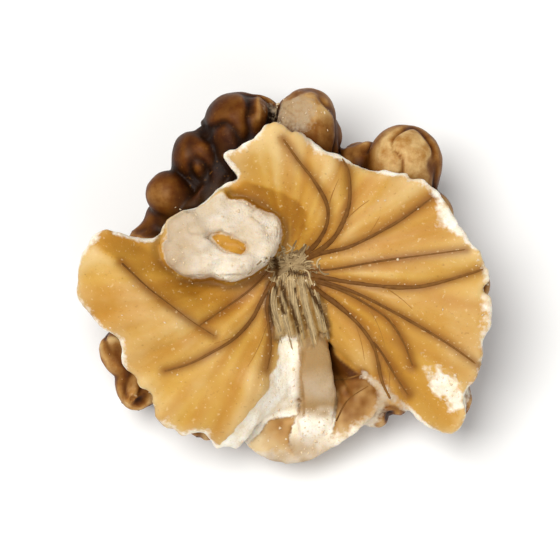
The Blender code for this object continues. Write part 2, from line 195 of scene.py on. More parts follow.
FACE_HEIGHTS = [
    # around the scar
    (0.0, 0.0, -1.0), (3.0, 0.2, 0.0), (1.8, -2.5, -0.6), (-2.0, -1.8, -0.2),
    (1.2, -6.0, -1.8), (3.2, -5.6, -1.6),
    # the right fan, hollow below and curling up at the rim
    (7.0, 0.6, 1.1), (11.5, 0.6, 1.7), (16.5, 0.3, 2.6), (6.5, 3.6, 1.5),
    (10.5, 4.8, 2.2), (12.4, 6.2, 2.8), (9.6, 7.6, 3.1), (8.0, -3.0, 0.9),
    (12.5, -3.8, 1.4), (17.0, -3.5, 2.2), (12.8, -7.8, 0.9), (16.0, -8.5, 1.4),
    (8.8, -7.4, -0.9), (5.2, -7.6, -1.4), (12.2, -11.6, -1.4), (13.7, -13.6, -0.9),
    (15.0, -11.0, 0.8),
    # the upper petal and the hollow between it and the bridge
    (6.3, 8.4, 1.7), (4.3, 5.6, 1.9), (2.6, 3.6, 0.8), (3.2, 8.6, 3.0), (1.6, 10.8, 3.7),
    (-1.3, 12.2, 4.0), (-1.6, 9.6, 3.3), (-5.2, 9.4, 3.3), (-0.8, 6.0, 0.9),
    (0.2, 3.4, -0.1), (-4.2, 7.4, 1.4),
    # under the bridge
    (-5.2, 2.5, 0.4), (-9.8, 3.6, 0.8),
    # the left lobe: a trough by the bridge, a crest, and a face that falls outwards
    (-4.6, -2.0, -0.1), (-8.0, -1.4, 0.5), (-12.4, 1.8, 2.4), (-15.2, 3.1, 3.9),
    (-14.1, 0.6, 4.0), (-11.6, -1.7, 3.5), (-8.9, -3.6, 2.7), (-6.3, -5.6, 1.7),
    (-17.7, -0.5, 3.1), (-16.0, -4.2, 2.3), (-14.3, -6.6, 1.5), (-12.4, -9.6, 0.5),
    (-9.8, -12.8, -0.4), (-7.0, -13.6, -0.6), (-10.4, -6.6, 1.9), (-6.2, -9.4, 1.0),
    (-3.2, -5.6, 0.5), (-2.0, -9.6, 0.5), (-4.4, -12.4, 0.0),
    # the slanting break along its right side
    (0.6, -7.4, -1.8), (0.7, -10.6, -2.6), (-1.4, -12.2, -2.6), (-4.6, -14.8, -2.2),
]  # fmt: skip
PLEATS = 13
PLEAT_HEIGHT = 0.15
RUFFLE_HEIGHT = 0.28
FLESH_AT_SCAR = 2.6
FLESH_AT_RIM = 1.5


# %% Curves through given points
def smooth_curve(points, steps, closed):
    """Catmull-Rom curve: each span is a cubic that passes through its two ends."""
    p = np.array(points, float)
    if closed:
        p = np.vstack([p[-1:], p, p[:2]])
    else:
        p = np.vstack([2 * p[0] - p[1], p, 2 * p[-1] - p[-2]])
    t = np.arange(steps)[:, None] / steps
    spans = []
    for a, b, c, d in zip(p, p[1:], p[2:], p[3:], strict=False):
        square = 2 * a - 5 * b + 4 * c - d
        cube = 3 * b - a - 3 * c + d
        spans.append(0.5 * (2 * b + (c - a) * t + square * t**2 + cube * t**3))
    return np.vstack(spans if closed else [*spans, p[-2:-1]])


def finer(line, count):
    """The same line with so many points, evenly spaced along it."""
    far = np.append(0, np.cumsum(np.linalg.norm(np.diff(line, axis=0), axis=1)))
    return np.column_stack([np.interp(np.linspace(0, far[-1], count), far, c) for c in line.T])


def open_line(points, steps, count):
    """A smooth open curve through the points, as so many evenly spaced points."""
    return finer(smooth_curve(points, steps, closed=False), count)


def at_bearing(line, bearing):
    """The points of a closed line round the scar that lie in the given directions from it."""
    round_it = np.unwrap(np.arctan2(line[:, 1], line[:, 0]))
    return np.column_stack([np.interp(bearing, round_it, c, period=2 * math.pi) for c in line.T])


# %% Heights of the face between the known ones
class HeightField:
    """Thin-plate spline: weights times r squared log r from each known place, plus a plane."""

    def __init__(self, heights):
        known = np.array(heights, float)
        self.places = known[:, :2]
        n = len(known)
        flat = np.hstack([np.ones((n, 1)), self.places])
        system = np.block([[self.kernel(self.places), flat], [flat.T, np.zeros((3, 3))]])
        self.weights = np.linalg.solve(system, np.append(known[:, 2], np.zeros(3)))

    def kernel(self, xy):
        """r squared log r, for every point and every known place."""
        r2 = ((xy[:, None] - self.places) ** 2).sum(-1)
        return 0.5 * r2 * np.log(np.maximum(r2, 1e-12))

    def at(self, xy):
        """Heights at the given places."""
        n = len(self.places)
        return self.kernel(xy) @ self.weights[:n] + self.weights[n] + xy @ self.weights[n + 1 :]


FACE = HeightField(FACE_HEIGHTS)


# %% Pleats, and the lean of the face
def face_height(xy):
    """The height field plus shallow pleats, waves of the bearing that grow from the scar."""
    far = np.hypot(*xy.T)
    bearing = np.arctan2(xy[:, 1], xy[:, 0])
    pleat = np.sin(PLEATS * bearing + 0.8 * np.sin(3 * bearing))
    return FACE.at(xy) + PLEAT_HEIGHT * np.clip(far / 10, 0, 1) ** 1.5 * pleat


def tip_forward(p):
    """Turns points of the face's frame about X, so that the face leans towards -Y."""
    a = math.radians(FACE_TIP_DEG)
    turn = np.array([[1, 0, 0], [0, math.cos(a), -math.sin(a)], [0, math.sin(a), math.cos(a)]])
    return np.asarray(p, float) @ turn.T


def squared(wave, power):
    """A sine or cosine whose round turns are pressed towards square ones."""
    return np.sign(wave) * np.abs(wave) ** power


print("face spans", np.ptp(np.array(FACE_RIM), axis=0), "mm")


# %% Smooth noise, worked out for all points at once
def noise(points, size, seed=0):
    """Value noise from -1 to 1: a random number on each corner of a cubic lattice of the
    given size, blended across each cell with a smooth step in X, Y and Z."""
    p = points / size + 31.7 * seed
    cell = np.floor(p).astype(np.int64)
    f = p - cell
    f = f * f * (3 - 2 * f)
    total = np.zeros(len(p))
    for corner in np.ndindex(2, 2, 2):
        k = (cell + corner) * np.array([73856093, 19349663, 83492791])
        key = (k[:, 0] ^ k[:, 1] ^ k[:, 2] ^ (seed * 2654435761)) & 0xFFFFFFFF
        key = ((key ^ (key >> 15)) * 2246822519) & 0xFFFFFFFF
        key = ((key ^ (key >> 13)) * 3266489917) & 0xFFFFFFFF
        share = np.prod(np.where(corner, f, 1 - f), axis=1)
        total += share * ((key ^ (key >> 16)) & 0xFFFFFF) / 0xFFFFFF
    return 2 * total - 1


def smooth_step(x, start, end):
    """0 before start, 1 after end, and an S-curve between them."""
    t = np.clip((x - start) / (end - start), 0, 1)
    return t * t * (3 - 2 * t)


# %% [markdown]
# ## The flesh, piece by piece
#
# Each part of the kernel is a closed surface on a grid of two parameters. The first always
# runs round the piece and the second from one pole to the other, so every piece is a
# wrapped sheet with its two ends pinched. The pieces overlap on purpose, because in the
# next step they grow together into one skin.

# %% Closed meshes whose faces point outwards
def outward(mesh, weld_mm=0.0):
    """Welds the points of each pole where asked, and turns every face outwards."""
    bm = bmesh.new()
    bm.from_mesh(mesh)
    if weld_mm:
        bmesh.ops.remove_doubles(bm, verts=bm.verts, dist=weld_mm * MM)
    bmesh.ops.recalc_face_normals(bm, faces=bm.faces)
    bm.to_mesh(mesh)
    bm.free()


# %% From a grid of points to a closed surface
def ring_quads(rows, ring):
    """Corner numbers of the quads between so many rows, each a closed ring of points."""
    row, col = np.meshgrid(np.arange(rows - 1) * ring, np.arange(ring), indexing="ij")
    after = (col + 1) % ring
    return np.stack([row + col, row + after, row + ring + after, row + ring + col], -1).reshape(-1, 4)


flesh_points, flesh_quads = [], []


def grow(points):
    """Adds a closed surface: rows from pole to pole, each row a ring of points."""
    start = sum(len(p) for p in flesh_points)
    flesh_points.append(points.reshape(-1, 3))
    flesh_quads.append(ring_quads(*points.shape[:2]) + start)


def grid(around, along):
    """u from 0 to 1 round the piece without its last step, and s from 0 to 1 along it."""
    s, u = np.meshgrid(np.linspace(0, 1, along), np.arange(around) / around, indexing="ij")
    return u, s


# %% The inner face: a sheet that leaves the scar on top and comes back underneath
RIM_LINE = smooth_curve(FACE_RIM, 16, closed=True)


def face_shell():
    """Out from the scar to the rim as the sine of s, and back again underneath. The
    half-thickness follows the cosine, pressed square, so that the rim is round."""
    u, s = grid(around=1500, along=150)
    index = u * len(RIM_LINE)
    low = np.floor(index).astype(int)
    part = (index - low)[..., None]
    edge = RIM_LINE[low % len(RIM_LINE)] * (1 - part) + RIM_LINE[(low + 1) % len(RIM_LINE)] * part
    on_rim = np.dstack([edge, 0 * u]).reshape(-1, 3)
    ragged = 0.30 * noise(on_rim, 2.1, 3) + 0.22 * noise(on_rim, 0.95, 4) + 0.10 * noise(on_rim, 0.5, 5)
    ragged -= 0.55 * smooth_step(noise(on_rim, 1.3, 6), 0.3, 0.75)
    out = edge / np.linalg.norm(edge, axis=-1)[..., None]
    reach = np.sin(math.pi * s)
    xy = (edge + out * (ragged.reshape(u.shape) * reach**8)[..., None]) * reach[..., None]
    flat = xy.reshape(-1, 2)
    ruffle = RUFFLE_HEIGHT * reach**4 * np.sin(46 * math.pi * u) * np.sin(14 * math.pi * u + 1.0)
    top = face_height(flat).reshape(u.shape) + ruffle
    thin = np.clip(np.hypot(*flat.T) / 12 - 0.2, 0, 1).reshape(u.shape)
    half = (FLESH_AT_SCAR + (FLESH_AT_RIM - FLESH_AT_SCAR) * thin) / 2
    z = top - half + half * squared(np.cos(math.pi * s), 0.34)
    grow(tip_forward(np.dstack([xy, z])))


face_shell()

# %% The shallow lobe under the notch
CUP_MIDDLE = (1.6, -9.6, -3.5)
CUP_RIM = [
    (7.8, -8.6, -1.3), (7.9, -10.4, -1.2), (6.8, -12.4, -1.9), (4.6, -14.2, -2.5),
    (1.6, -16.0, -2.9), (-1.4, -15.9, -3.1), (-3.6, -14.4, -3.3), (-4.4, -11.0, -3.4),
    (-3.6, -7.0, -3.4), (0.0, -4.6, -3.4), (4.4, -5.4, -2.8),
]  # fmt: skip
CUP_FLESH = 1.5


def cup_shell():
    """A dish: height rises with the square of the reach from its middle to its rim."""
    rim = smooth_curve(CUP_RIM, 24, closed=True)
    u, s = grid(around=len(rim), along=80)
    reach = np.sin(math.pi * s)[..., None]
    edge = np.broadcast_to(rim, (*u.shape, 3))
    ragged = 1 + 0.012 * noise(edge.reshape(-1, 3), 1.1, 8).reshape(u.shape)[..., None]
    p = np.array(CUP_MIDDLE) + (edge - np.array(CUP_MIDDLE)) * reach * ragged
    p[..., 2] = CUP_MIDDLE[2] + (edge[..., 2] - CUP_MIDDLE[2]) * reach[..., 0] ** 2
    p[..., 2] += CUP_FLESH / 2 * (squared(np.cos(math.pi * s), 0.3) - 1)
    grow(tip_forward(p))


cup_shell()

# %% The stump of the bridge: a wall round an oval, broken off level
BRIDGE_CENTRE = (-5.4, 2.4)
BRIDGE_TOP = 2.7
BRIDGE_SLOPE = (-0.05, -0.10)
BRIDGE_ROUGHNESS = 0.18
BRIDGE_FOOT = -1.2
BROKEN_RIM = [
    (-0.8, 1.9), (-0.6, 3.6), (-2.2, 5.0), (-3.7, 5.6), (-4.9, 5.9), (-5.6, 6.7),
    (-7.0, 5.6), (-8.5, 4.9), (-9.9, 4.1), (-10.2, 3.0), (-10.6, 1.6), (-9.6, 0.3),
    (-8.2, -0.6), (-6.6, -0.7), (-4.8, -1.0), (-3.0, -0.4), (-1.4, 0.8),
]  # fmt: skip
SLIT_CENTRE = (-4.95, 2.25)
SLIT_HALF_AXES = (1.65, 0.6)
SLIT_TURN_DEG = -25.0
# The section of the wall, from the floor of the slit over the top and down to the foot:
# its place from 0 in the middle over 1 at the slit to 2 outside, and its height from foot to top
WALL_SECTION = [
    (0.0, 0.66), (0.8, 0.65), (1.0, 0.72), (1.04, 0.88), (1.14, 0.98), (1.3, 1.0),
    (1.55, 0.96), (1.82, 0.88), (1.96, 0.78), (2.0, 0.62), (2.0, 0.3), (1.9, 0.0),
    (0.8, 0.0), (0.0, 0.0),
]  # fmt: skip


def bridge():
    """At each bearing the section is stretched from the slit's ellipse to the broken rim."""
    section = smooth_curve(WALL_SECTION, 9, closed=False)
    outer = smooth_curve(BROKEN_RIM, 24, closed=True) - SLIT_CENTRE
    on_line = np.column_stack([outer, 0 * outer[:, 0]])
    outer *= (1 + 0.05 * noise(on_line, 1.5, 61) + 0.035 * noise(on_line, 0.7, 63))[:, None]
    toward = np.arctan2(outer[:, 1], outer[:, 0]) - math.radians(SLIT_TURN_DEG)
    reach = 1 / np.hypot(np.cos(toward) / SLIT_HALF_AXES[0], np.sin(toward) / SLIT_HALF_AXES[1])
    reach *= 1 + 0.16 * noise(on_line, 1.2, 62)
    inner = outer / np.linalg.norm(outer, axis=1)[:, None] * reach[:, None]
    share, level = section[:, 0, None, None], section[:, 1, None]
    xy = np.where(share < 1, inner * share, inner + (outer - inner) * (share - 1))
    x, y = xy[..., 0] + SLIT_CENTRE[0] - BRIDGE_CENTRE[0], xy[..., 1] + SLIT_CENTRE[1] - BRIDGE_CENTRE[1]
    top = BRIDGE_TOP + BRIDGE_SLOPE[0] * x + BRIDGE_SLOPE[1] * y
    top = top + BRIDGE_ROUGHNESS * (np.sin(2.3 * x + 1.1 * y) + 0.8 * np.sin(3.7 * y - 1.9 * x))
    z = BRIDGE_FOOT + level * (top - BRIDGE_FOOT)
    grow(tip_forward(np.dstack([x + BRIDGE_CENTRE[0], y + BRIDGE_CENTRE[1], z])))


bridge()


# %% Tubes: a round profile carried along a line, closed like a ball at both ends
def along_line(line, side, around, radii, flat=1.0, square=(1.0, 1.0)):
    """Ring by ring: the line plus cosine times a sideways unit vector plus sine times the
    vector square to both. The side vector is made square to the line first."""
    ahead = np.gradient(line, axis=0)
    ahead /= np.linalg.norm(ahead, axis=1)[:, None]
    aside = side - (ahead * side).sum(axis=1)[:, None] * ahead
    aside /= np.linalg.norm(aside, axis=1)[:, None]
    up = np.cross(ahead, aside)
    a = 2 * math.pi * np.arange(around) / around
    wave = squared(np.cos(a), square[0])[None, :, None] * aside[:, None]
    wave = wave + flat * squared(np.sin(a), square[1])[None, :, None] * up[:, None]
    return line[:, None] + radii[:, None, None] * wave


def ball_ends(line, radii):
    """Radii that shrink to nothing within one radius of each end, as on a half ball."""
    far = np.append(0, np.cumsum(np.linalg.norm(np.diff(line, axis=0), axis=1)))
    near = np.clip(np.minimum(far, far[-1] - far) / radii, 0, 1)
    return radii * np.sqrt(1 - (1 - near) ** 2)


RIGHT = np.array([1.0, 0.0, 0.0])


def sausages(lines, steps, count, around):
    """Round tubes with ball ends along lines of the face's plane, each with its radius."""
    for points, radius in lines:
        line = tip_forward(open_line(points, steps, count))
        grow(along_line(line, RIGHT, around, ball_ends(line, np.full(count, radius))))


# %% The blade of flesh in the notch
BLADE_LINE = [(1.8, -5.4, -1.6), (2.1, -8.0, -1.5), (2.5, -10.8, -2.3), (1.7, -14.2, -3.6)]
BLADE_SIZE = (2.9, 1.4)

blade_line = open_line(BLADE_LINE, steps=16, count=90)
blade_share = np.linspace(0, 1, len(blade_line))
blade_width = BLADE_SIZE[0] / 2 * np.sqrt(np.clip(1 - np.abs(2 * blade_share - 1) ** 8, 0, 1))
blade_rings = along_line(
    blade_line, np.array([1.0, 0.3, 0.0]), 60, blade_width, BLADE_SIZE[1] / BLADE_SIZE[0], (0.8, 0.4)
)
grow(tip_forward(blade_rings))

# %% Flesh that carries the blade, and the shelf beside it
NOTCH_FLESH = [
    ([(0.8, -5.4, -2.2), (1.0, -8.2, -2.4), (1.0, -10.8, -3.1)], 0.95),
    ([(4.0, -5.6, -3.4), (5.4, -8.4, -3.6), (5.2, -11.6, -4.0)], 1.45),
]

sausages(NOTCH_FLESH, steps=12, count=60, around=36)

# %% Dry strands over the scar
STRAND_LINES = [
    ((-0.9, 0.4), (-1.4, -2.6), (-0.7, -5.4)),
    ((-0.4, 0.6), (-0.5, -2.8), (0.2, -5.9)),
    ((0.2, 0.7), (0.4, -2.8), (1.1, -6.1)),
    ((0.8, 0.6), (1.3, -2.6), (2.1, -5.9)),
    ((1.3, 0.4), (2.2, -2.2), (3.0, -5.1)),
]
STRAND_RADIUS = 0.45

for ends in STRAND_LINES:
    xy = open_line(ends, steps=10, count=60)
    strand = np.column_stack([xy, FACE.at(xy) + 0.12])
    grow(tip_forward(along_line(strand, RIGHT, 16, ball_ends(strand, np.full(60, STRAND_RADIUS)))))

# %% The bowl of the back
BACK_RIM = [
    (14.4, 0.0, -0.7), (12.4, 3.8, -0.8), (10.2, 7.4, -1.9), (7.0, 9.4, -2.7),
    (1.6, 12.4, -2.5), (-4.2, 12.6, -2.7), (-7.8, 9.4, -2.9), (-10.8, 5.2, -2.3),
    (-14.8, 1.0, 0.5), (-15.2, -3.2, 0.1), (-14.4, -8.0, -1.7), (-11.4, -11.6, -2.8),
    (-4.0, -14.2, -4.5), (1.6, -15.0, -5.2), (5.8, -12.4, -4.6), (8.6, -9.8, -3.5),
    (12.6, -10.4, -2.0), (14.6, -6.0, -1.0),
]  # fmt: skip
FOLD_LOW = -7.9
BACK_LINE = smooth_curve(BACK_RIM, 10, closed=True)


def back_point(along, across):
    """The bowl above a disc of radius 1 that is stretched to the rim line. Its height drops
    from the line's own to the lowest level as (1 - reach cubed) to the power 1/1.6."""
    bearing = np.arctan2(across, along)
    reach = np.clip(np.hypot(along, across), 0, 1)
    edge = tip_forward(at_bearing(BACK_LINE, bearing))
    low = edge * reach[:, None]
    low[:, 2] = edge[:, 2] + (FOLD_LOW - edge[:, 2]) * (1 - reach**3) ** (1 / 1.6)
    return low


# %% Folds in two lobes, with a groove between them
FOLD_RADIUS = 2.1
FOLD_KNOBS = 0.14
FOLD_MEANDER = 0.075
FOLDS_PER_LOBE = 7
FOLD_ROW = 0.81
GROOVE_DEG = 150.0


def back_folds():
    """Each fold's line leaves the groove, strays by a sine, and ends at the rim."""
    groove = math.radians(GROOVE_DEG)
    side_of_fold = np.array([math.cos(groove), math.sin(groove), 0.0])
    t = np.linspace(0, 1, 110)
    for side in (-1, 1):
        for index, offset in enumerate(np.linspace(-FOLD_ROW, FOLD_ROW, FOLDS_PER_LOBE)):
            phase = 1.9 * index + side
            stray = FOLD_MEANDER * np.sin(2 * math.pi * (0.95 * t + 0.17 * phase))
            along = offset * (1 + 0.1 * t) + stray
            across = side * math.sqrt(1 - offset**2) * t
            x = along * math.cos(groove) - across * math.sin(groove)
            y = along * math.sin(groove) + across * math.cos(groove)
            knobby = 1 + FOLD_KNOBS * np.sin(2 * math.pi * (3.1 * t + 0.31 * phase))
            line = back_point(x, y)
            grow(along_line(line, side_of_fold, 44, ball_ends(line, FOLD_RADIUS * knobby)))


back_folds()

# %% Stout fold ends that show behind the face
KNOBS = [
    ([(1.7, 7.0, -4.2), (1.5, 11.0, -3.0), (1.3, 15.3, -2.4)], 2.5),
    ([(8.4, 5.0, -4.2), (9.4, 8.0, -3.2), (9.9, 12.1, -2.6)], 3.1),
    ([(-3.6, 6.6, -4.6), (-4.1, 10.4, -3.8), (-4.3, 14.9, -3.2)], 2.9),
    ([(-5.4, 4.4, -4.4), (-6.8, 7.4, -3.6), (-7.9, 11.2, -3.2)], 1.7),
    ([(-6.5, 3.6, -4.6), (-9.0, 5.6, -3.6), (-11.4, 7.6, -3.0)], 1.9),
    ([(12.0, -5.0, -3.6), (13.0, -8.6, -2.6), (13.9, -12.4, -1.9)], 1.6),
]

sausages(KNOBS, steps=12, count=70, around=48)

# %% The solid flesh between the face and the folds
BODY_REACH = 0.84
BODY_BELOW_FACE = 1.3
BODY_ABOVE_RIM = 1.0
BODY_SLOPE = 2.2
CLEFT_DEPTH = 0.7


def body():
    """A lens: its underside is the bowl, raised a little. Its top hangs under the face, and
    falls to the rim of the back where the face ends."""
    u, s = grid(around=240, along=121)
    bearing = (2 * math.pi * u).ravel()
    reach = BODY_REACH * np.sin(math.pi * s.ravel())
    below = back_point(reach * np.cos(bearing), reach * np.sin(bearing))
    below[:, 2] += CLEFT_DEPTH
    under_face = np.column_stack([below[:, :2], FACE.at(below[:, :2]) - BODY_BELOW_FACE])
    over_rim = back_point(np.cos(bearing), np.sin(bearing)) + BODY_ABOVE_RIM
    past = np.hypot(*below[:, :2].T) - np.hypot(*at_bearing(RIM_LINE, bearing).T)
    fall = smooth_step(past, -BODY_SLOPE, 0)
    top = tip_forward(under_face)[:, 2] * (1 - fall) + over_rim[:, 2] * fall
    upper = s.ravel() < 0.5
    below[upper, 2] = np.maximum(top, below[:, 2] + 0.5)[upper]
    grow(below.reshape(*u.shape, 3))


body()
print(len(flesh_points), "closed surfaces,", sum(map(len, flesh_points)), "points")

# %% [markdown]
# ## Growing together
#
# A voxel remesh lays one closed skin over all the overlapping surfaces, in steps of less than
# a quarter of a millimetre. A few rounds of smoothing take out the marks of the voxels and
# give the clefts the soft bottom that they have when flesh presses against flesh.

# %% One skin over all the surfaces
SKIN_VOXEL = 0.225


def skin_over(points, quads):
    """Welds the poles, remeshes by voxels, smooths, and returns the new mesh."""
    raw = bpy.data.meshes.new("flesh")
    raw.from_pydata(points * MM, [], quads)
    outward(raw, weld_mm=0.004)
    obj = bpy.data.objects.new("flesh", raw)
    bpy.context.scene.collection.objects.link(obj)
    remesh = obj.modifiers.new("one_skin", "REMESH")
    remesh.mode = "VOXEL"
    remesh.voxel_size = SKIN_VOXEL * MM
    relax = obj.modifiers.new("soften_the_voxels", "SMOOTH")
    relax.factor = 0.5
    relax.iterations = 4
    graph = bpy.context.evaluated_depsgraph_get()
    mesh = bpy.data.meshes.new_from_object(obj.evaluated_get(graph))
    bpy.data.objects.remove(obj)
    bpy.data.meshes.remove(raw)
    return mesh


skin = skin_over(np.vstack(flesh_points), np.vstack(flesh_quads))
print("skin:", len(skin.vertices), "points,", len(skin.polygons), "quads")


# %% Reading and moving a mesh as whole arrays
def places(mesh):
    """All vertex places of a mesh, in millimetres."""
    flat = np.empty(3 * len(mesh.vertices))
    mesh.vertices.foreach_get("co", flat)
    return flat.reshape(-1, 3) / MM


def normals(mesh):
    """All vertex normals of a mesh."""
    flat = np.empty(3 * len(mesh.vertices))
    mesh.vertex_normals.foreach_get("vector", flat)
    return flat.reshape(-1, 3)


def move(mesh, points):
    """Puts places in millimetres back in the mesh."""
    mesh.vertices.foreach_set("co", (points * MM).ravel())
    mesh.update()


def neighbour_mean(mesh, values, rounds):
    """Each value is replaced by the mean of itself and its neighbours, so many times."""
    ends = np.empty(2 * len(mesh.edges), int)
    mesh.edges.foreach_get("vertices", ends)
    a, b = ends.reshape(-1, 2).T
    count = np.bincount(np.append(a, b), minlength=len(mesh.vertices)) + 1
    flat = values.reshape(len(values), -1).astype(float)
    for _ in range(rounds):
        total = flat.copy()
        for column in range(flat.shape[1]):
            total[:, column] += np.bincount(a, flat[b, column], len(flat))
            total[:, column] += np.bincount(b, flat[a, column], len(flat))
        flat = total / count[:, None]
    return flat.reshape(values.shape)


# %% [markdown]
# ## Where is skin, and where is bare flesh?
#
# A walnut half carries three surfaces. The golden skin of the inner face is smooth and
# thin. The brown skin of the back is thicker and wrinkled, and shade is painted into it in
# the clefts. Bare flesh is off-white and crumbly, and shows where a piece broke off or an
# edge was rubbed. The shader has to know which is which, so each point of the mesh gets a
# few numbers from 0 to 1, kept as named attributes. They are worked out from distances to
# lines and areas that are written down in the plane of the face.

# %% Distances and areas, for all points at once
SLICES = 60  # points are taken in so many parts, which keeps the tables small


def nearest(points, line):
    """For each point, the distance to the nearest point of a line, a slice at a time."""
    line = line.astype(np.float32)
    found = []
    for part in np.array_split(points.astype(np.float32), SLICES):
        gap = ((part[:, None] - line) ** 2).sum(-1)
        found.append(np.sqrt(gap.min(axis=1)))
    return np.concatenate(found)


def inside(points, line):
    """Even-odd rule: whether a ray towards +X crosses a closed line an odd number of times."""
    a, b = line, np.roll(line, -1, axis=0)
    rise = np.where(a[:, 1] == b[:, 1], 1.0, b[:, 1] - a[:, 1])
    found = []
    for part in np.array_split(points, SLICES):
        y = part[:, 1:2]
        crossing = a[:, 0] + (y - a[:, 1]) / rise * (b[:, 0] - a[:, 0])
        hit = ((a[:, 1] > y) != (b[:, 1] > y)) & (part[:, :1] < crossing)
        found.append(hit.sum(axis=1) % 2 == 1)
    return np.concatenate(found)


# %% The plane of the face, and the height above it
def untipped(points):
    """Points in the frame of the face's own plane again."""
    return points @ tip_forward(np.eye(3)).T


drawn, out = places(skin), normals(skin)
flat = untipped(drawn)[:, :2]
face_x, face_y = flat.T
above = untipped(drawn)[:, 2] - face_height(flat)
facing = untipped(out)[:, 2]
rim_points = finer(np.vstack([RIM_LINE, RIM_LINE[:1]]), 520)
within = nearest(flat, rim_points) * np.where(inside(flat, RIM_LINE), 1, -1)
grit = noise(drawn, 0.9, 11) * 0.6 + noise(drawn, 0.45, 12) * 0.4
cloud = noise(drawn, 3.0, 13)

inner = smooth_step(above, -0.9, -0.35) * smooth_step(within, -0.45, -0.05)
inner *= smooth_step(facing, -0.25, 0.15)
print("inner face:", int((inner > 0.5).sum()), "of", len(drawn), "points")


# %% Soft shapes on the face's plane
def bell(x, width):
    """1 at zero, and falling off to both sides as e to the minus square of x by width."""
    return np.exp(-((x / width) ** 2))


def round_patch(middle, half_sizes, power=2):
    """1 in the middle of an oval, falling off as e to the minus reach to a power. A higher
    power gives a flatter top and a steeper edge."""
    return np.exp(-(np.hypot(*((flat - middle) / half_sizes).T) ** power))


def away_from(points):
    """The distance of each point from a smooth open line through the given points."""
    return nearest(flat, open_line(points, steps=12, count=60))


# %% The broken top of the bridge, and the slit in it
broken_rim = smooth_curve(BROKEN_RIM, 20, closed=True)
past_rim = nearest(flat, broken_rim) * np.where(inside(flat, broken_rim), -1, 1)
slit_turn = math.radians(SLIT_TURN_DEG)
from_slit = flat - SLIT_CENTRE
slit_x = from_slit[:, 0] * math.cos(slit_turn) + from_slit[:, 1] * math.sin(slit_turn)
slit_y = from_slit[:, 1] * math.cos(slit_turn) - from_slit[:, 0] * math.sin(slit_turn)
slit = np.hypot(slit_x / SLIT_HALF_AXES[0], slit_y / SLIT_HALF_AXES[1])
on_ring = smooth_step(0.5 - past_rim + 0.2 * grit, 0.0, 0.3) * smooth_step(above, 0.3, 0.9)
on_ring *= smooth_step(slit + 0.2 * grit, 0.85, 1.15)

# %% The slanting break, and the blade
BREAK_EDGE = [(-14.7, -5.9), (-12.4, -3.9), (-9.7, -1.8), (-7.4, -1.0), (-5.4, -0.8)]

edge_x = np.interp(face_y, *np.array(BREAK_EDGE).T)
on_break = smooth_step(face_x - edge_x + 0.25 * grit, -0.1, 0.25)
on_break *= smooth_step(-face_y + 0.4 * grit, 5.2, 5.9) * smooth_step(within, -0.55, -0.25)
on_break *= smooth_step(above, -2.0, -1.5) * smooth_step(1.0 + 0.3 * grit - face_x, 0.0, 0.3)

blade_away = nearest(drawn, tip_forward(blade_line))
tatter = noise(drawn * (1.0, 0.2, 1.0), 0.45, 77)
on_blade = smooth_step(-blade_away + 0.15 * grit, -1.75, -1.5) * (1 - on_break)
on_blade *= smooth_step(-face_y + 0.5 * grit + 1.1 * tatter, 5.4, 6.3)
by_blade = smooth_step(-blade_away, -2.3, -1.9) * (1 - on_break)

# %% Places where the edges were rubbed
WORN_LINES = [
    # points of the line, and the width that is worn
    ([(12.8, 4.6), (14.7, 3.4), (16.5, 0.6), (16.9, -2.6), (16.4, -6.0)], 0.9),
    ([(9.6, 8.0), (11.4, 7.2), (12.6, 5.8)], 0.55),
    ([(16.6, -6.4), (16.0, -8.8), (15.2, -10.2), (15.2, -12.0)], 0.5),
    ([(-15.4, 3.3), (-17.0, 1.8), (-17.8, -0.6), (-17.2, -3.0), (-15.8, -4.6)], 0.6),
    ([(-14.3, -6.2), (-13.6, -8.8), (-12.0, -10.4)], 0.75),
    ([(-5.4, 9.8), (-3.4, 10.8), (-1.4, 12.3), (0.6, 11.6), (2.6, 10.1)], 0.5),
    ([(-10.2, -12.4), (-8.8, -13.6), (-7.0, -13.7)], 0.45),
    ([(4.4, -14.4), (1.6, -16.1), (-1.4, -16.0), (-3.4, -14.8)], 0.8),
    ([(7.9, -10.0), (7.2, -12.2), (5.2, -13.9)], 0.6),
]
WORN_SPOTS = [
    # middle, half sizes, turn in degrees, strength
    ((12.9, -9.5), (2.2, 1.1), -50.0, 1.0),
    ((0.3, 13.2), (1.9, 1.6), -25.0, 0.8),
    ((-10.4, -13.0), (1.6, 0.7), -40.0, 0.7),
    ((-0.4, -15.2), (2.6, 0.5), 5.0, 0.5),
]

worn = np.zeros(len(drawn))
for line, width in WORN_LINES:
    patch = smooth_step(width * (1 + 0.5 * cloud + 0.7 * grit) - away_from(line), -0.5, 0.7)
    worn = np.maximum(worn, patch * smooth_step(above, -2.4, -1.2))
for middle, (long, short), turn_deg, strength in WORN_SPOTS:
    turn = math.radians(turn_deg)
    dx, dy = (flat - middle).T
    a = (dx * math.cos(turn) + dy * math.sin(turn)) / long
    b = (dy * math.cos(turn) - dx * math.sin(turn)) / short
    patch = smooth_step(1.1 + 0.8 * grit + 0.3 * cloud - np.hypot(a, b), -0.4, 0.8)
    worn = np.maximum(worn, strength * patch * smooth_step(facing, -0.1, 0.3))
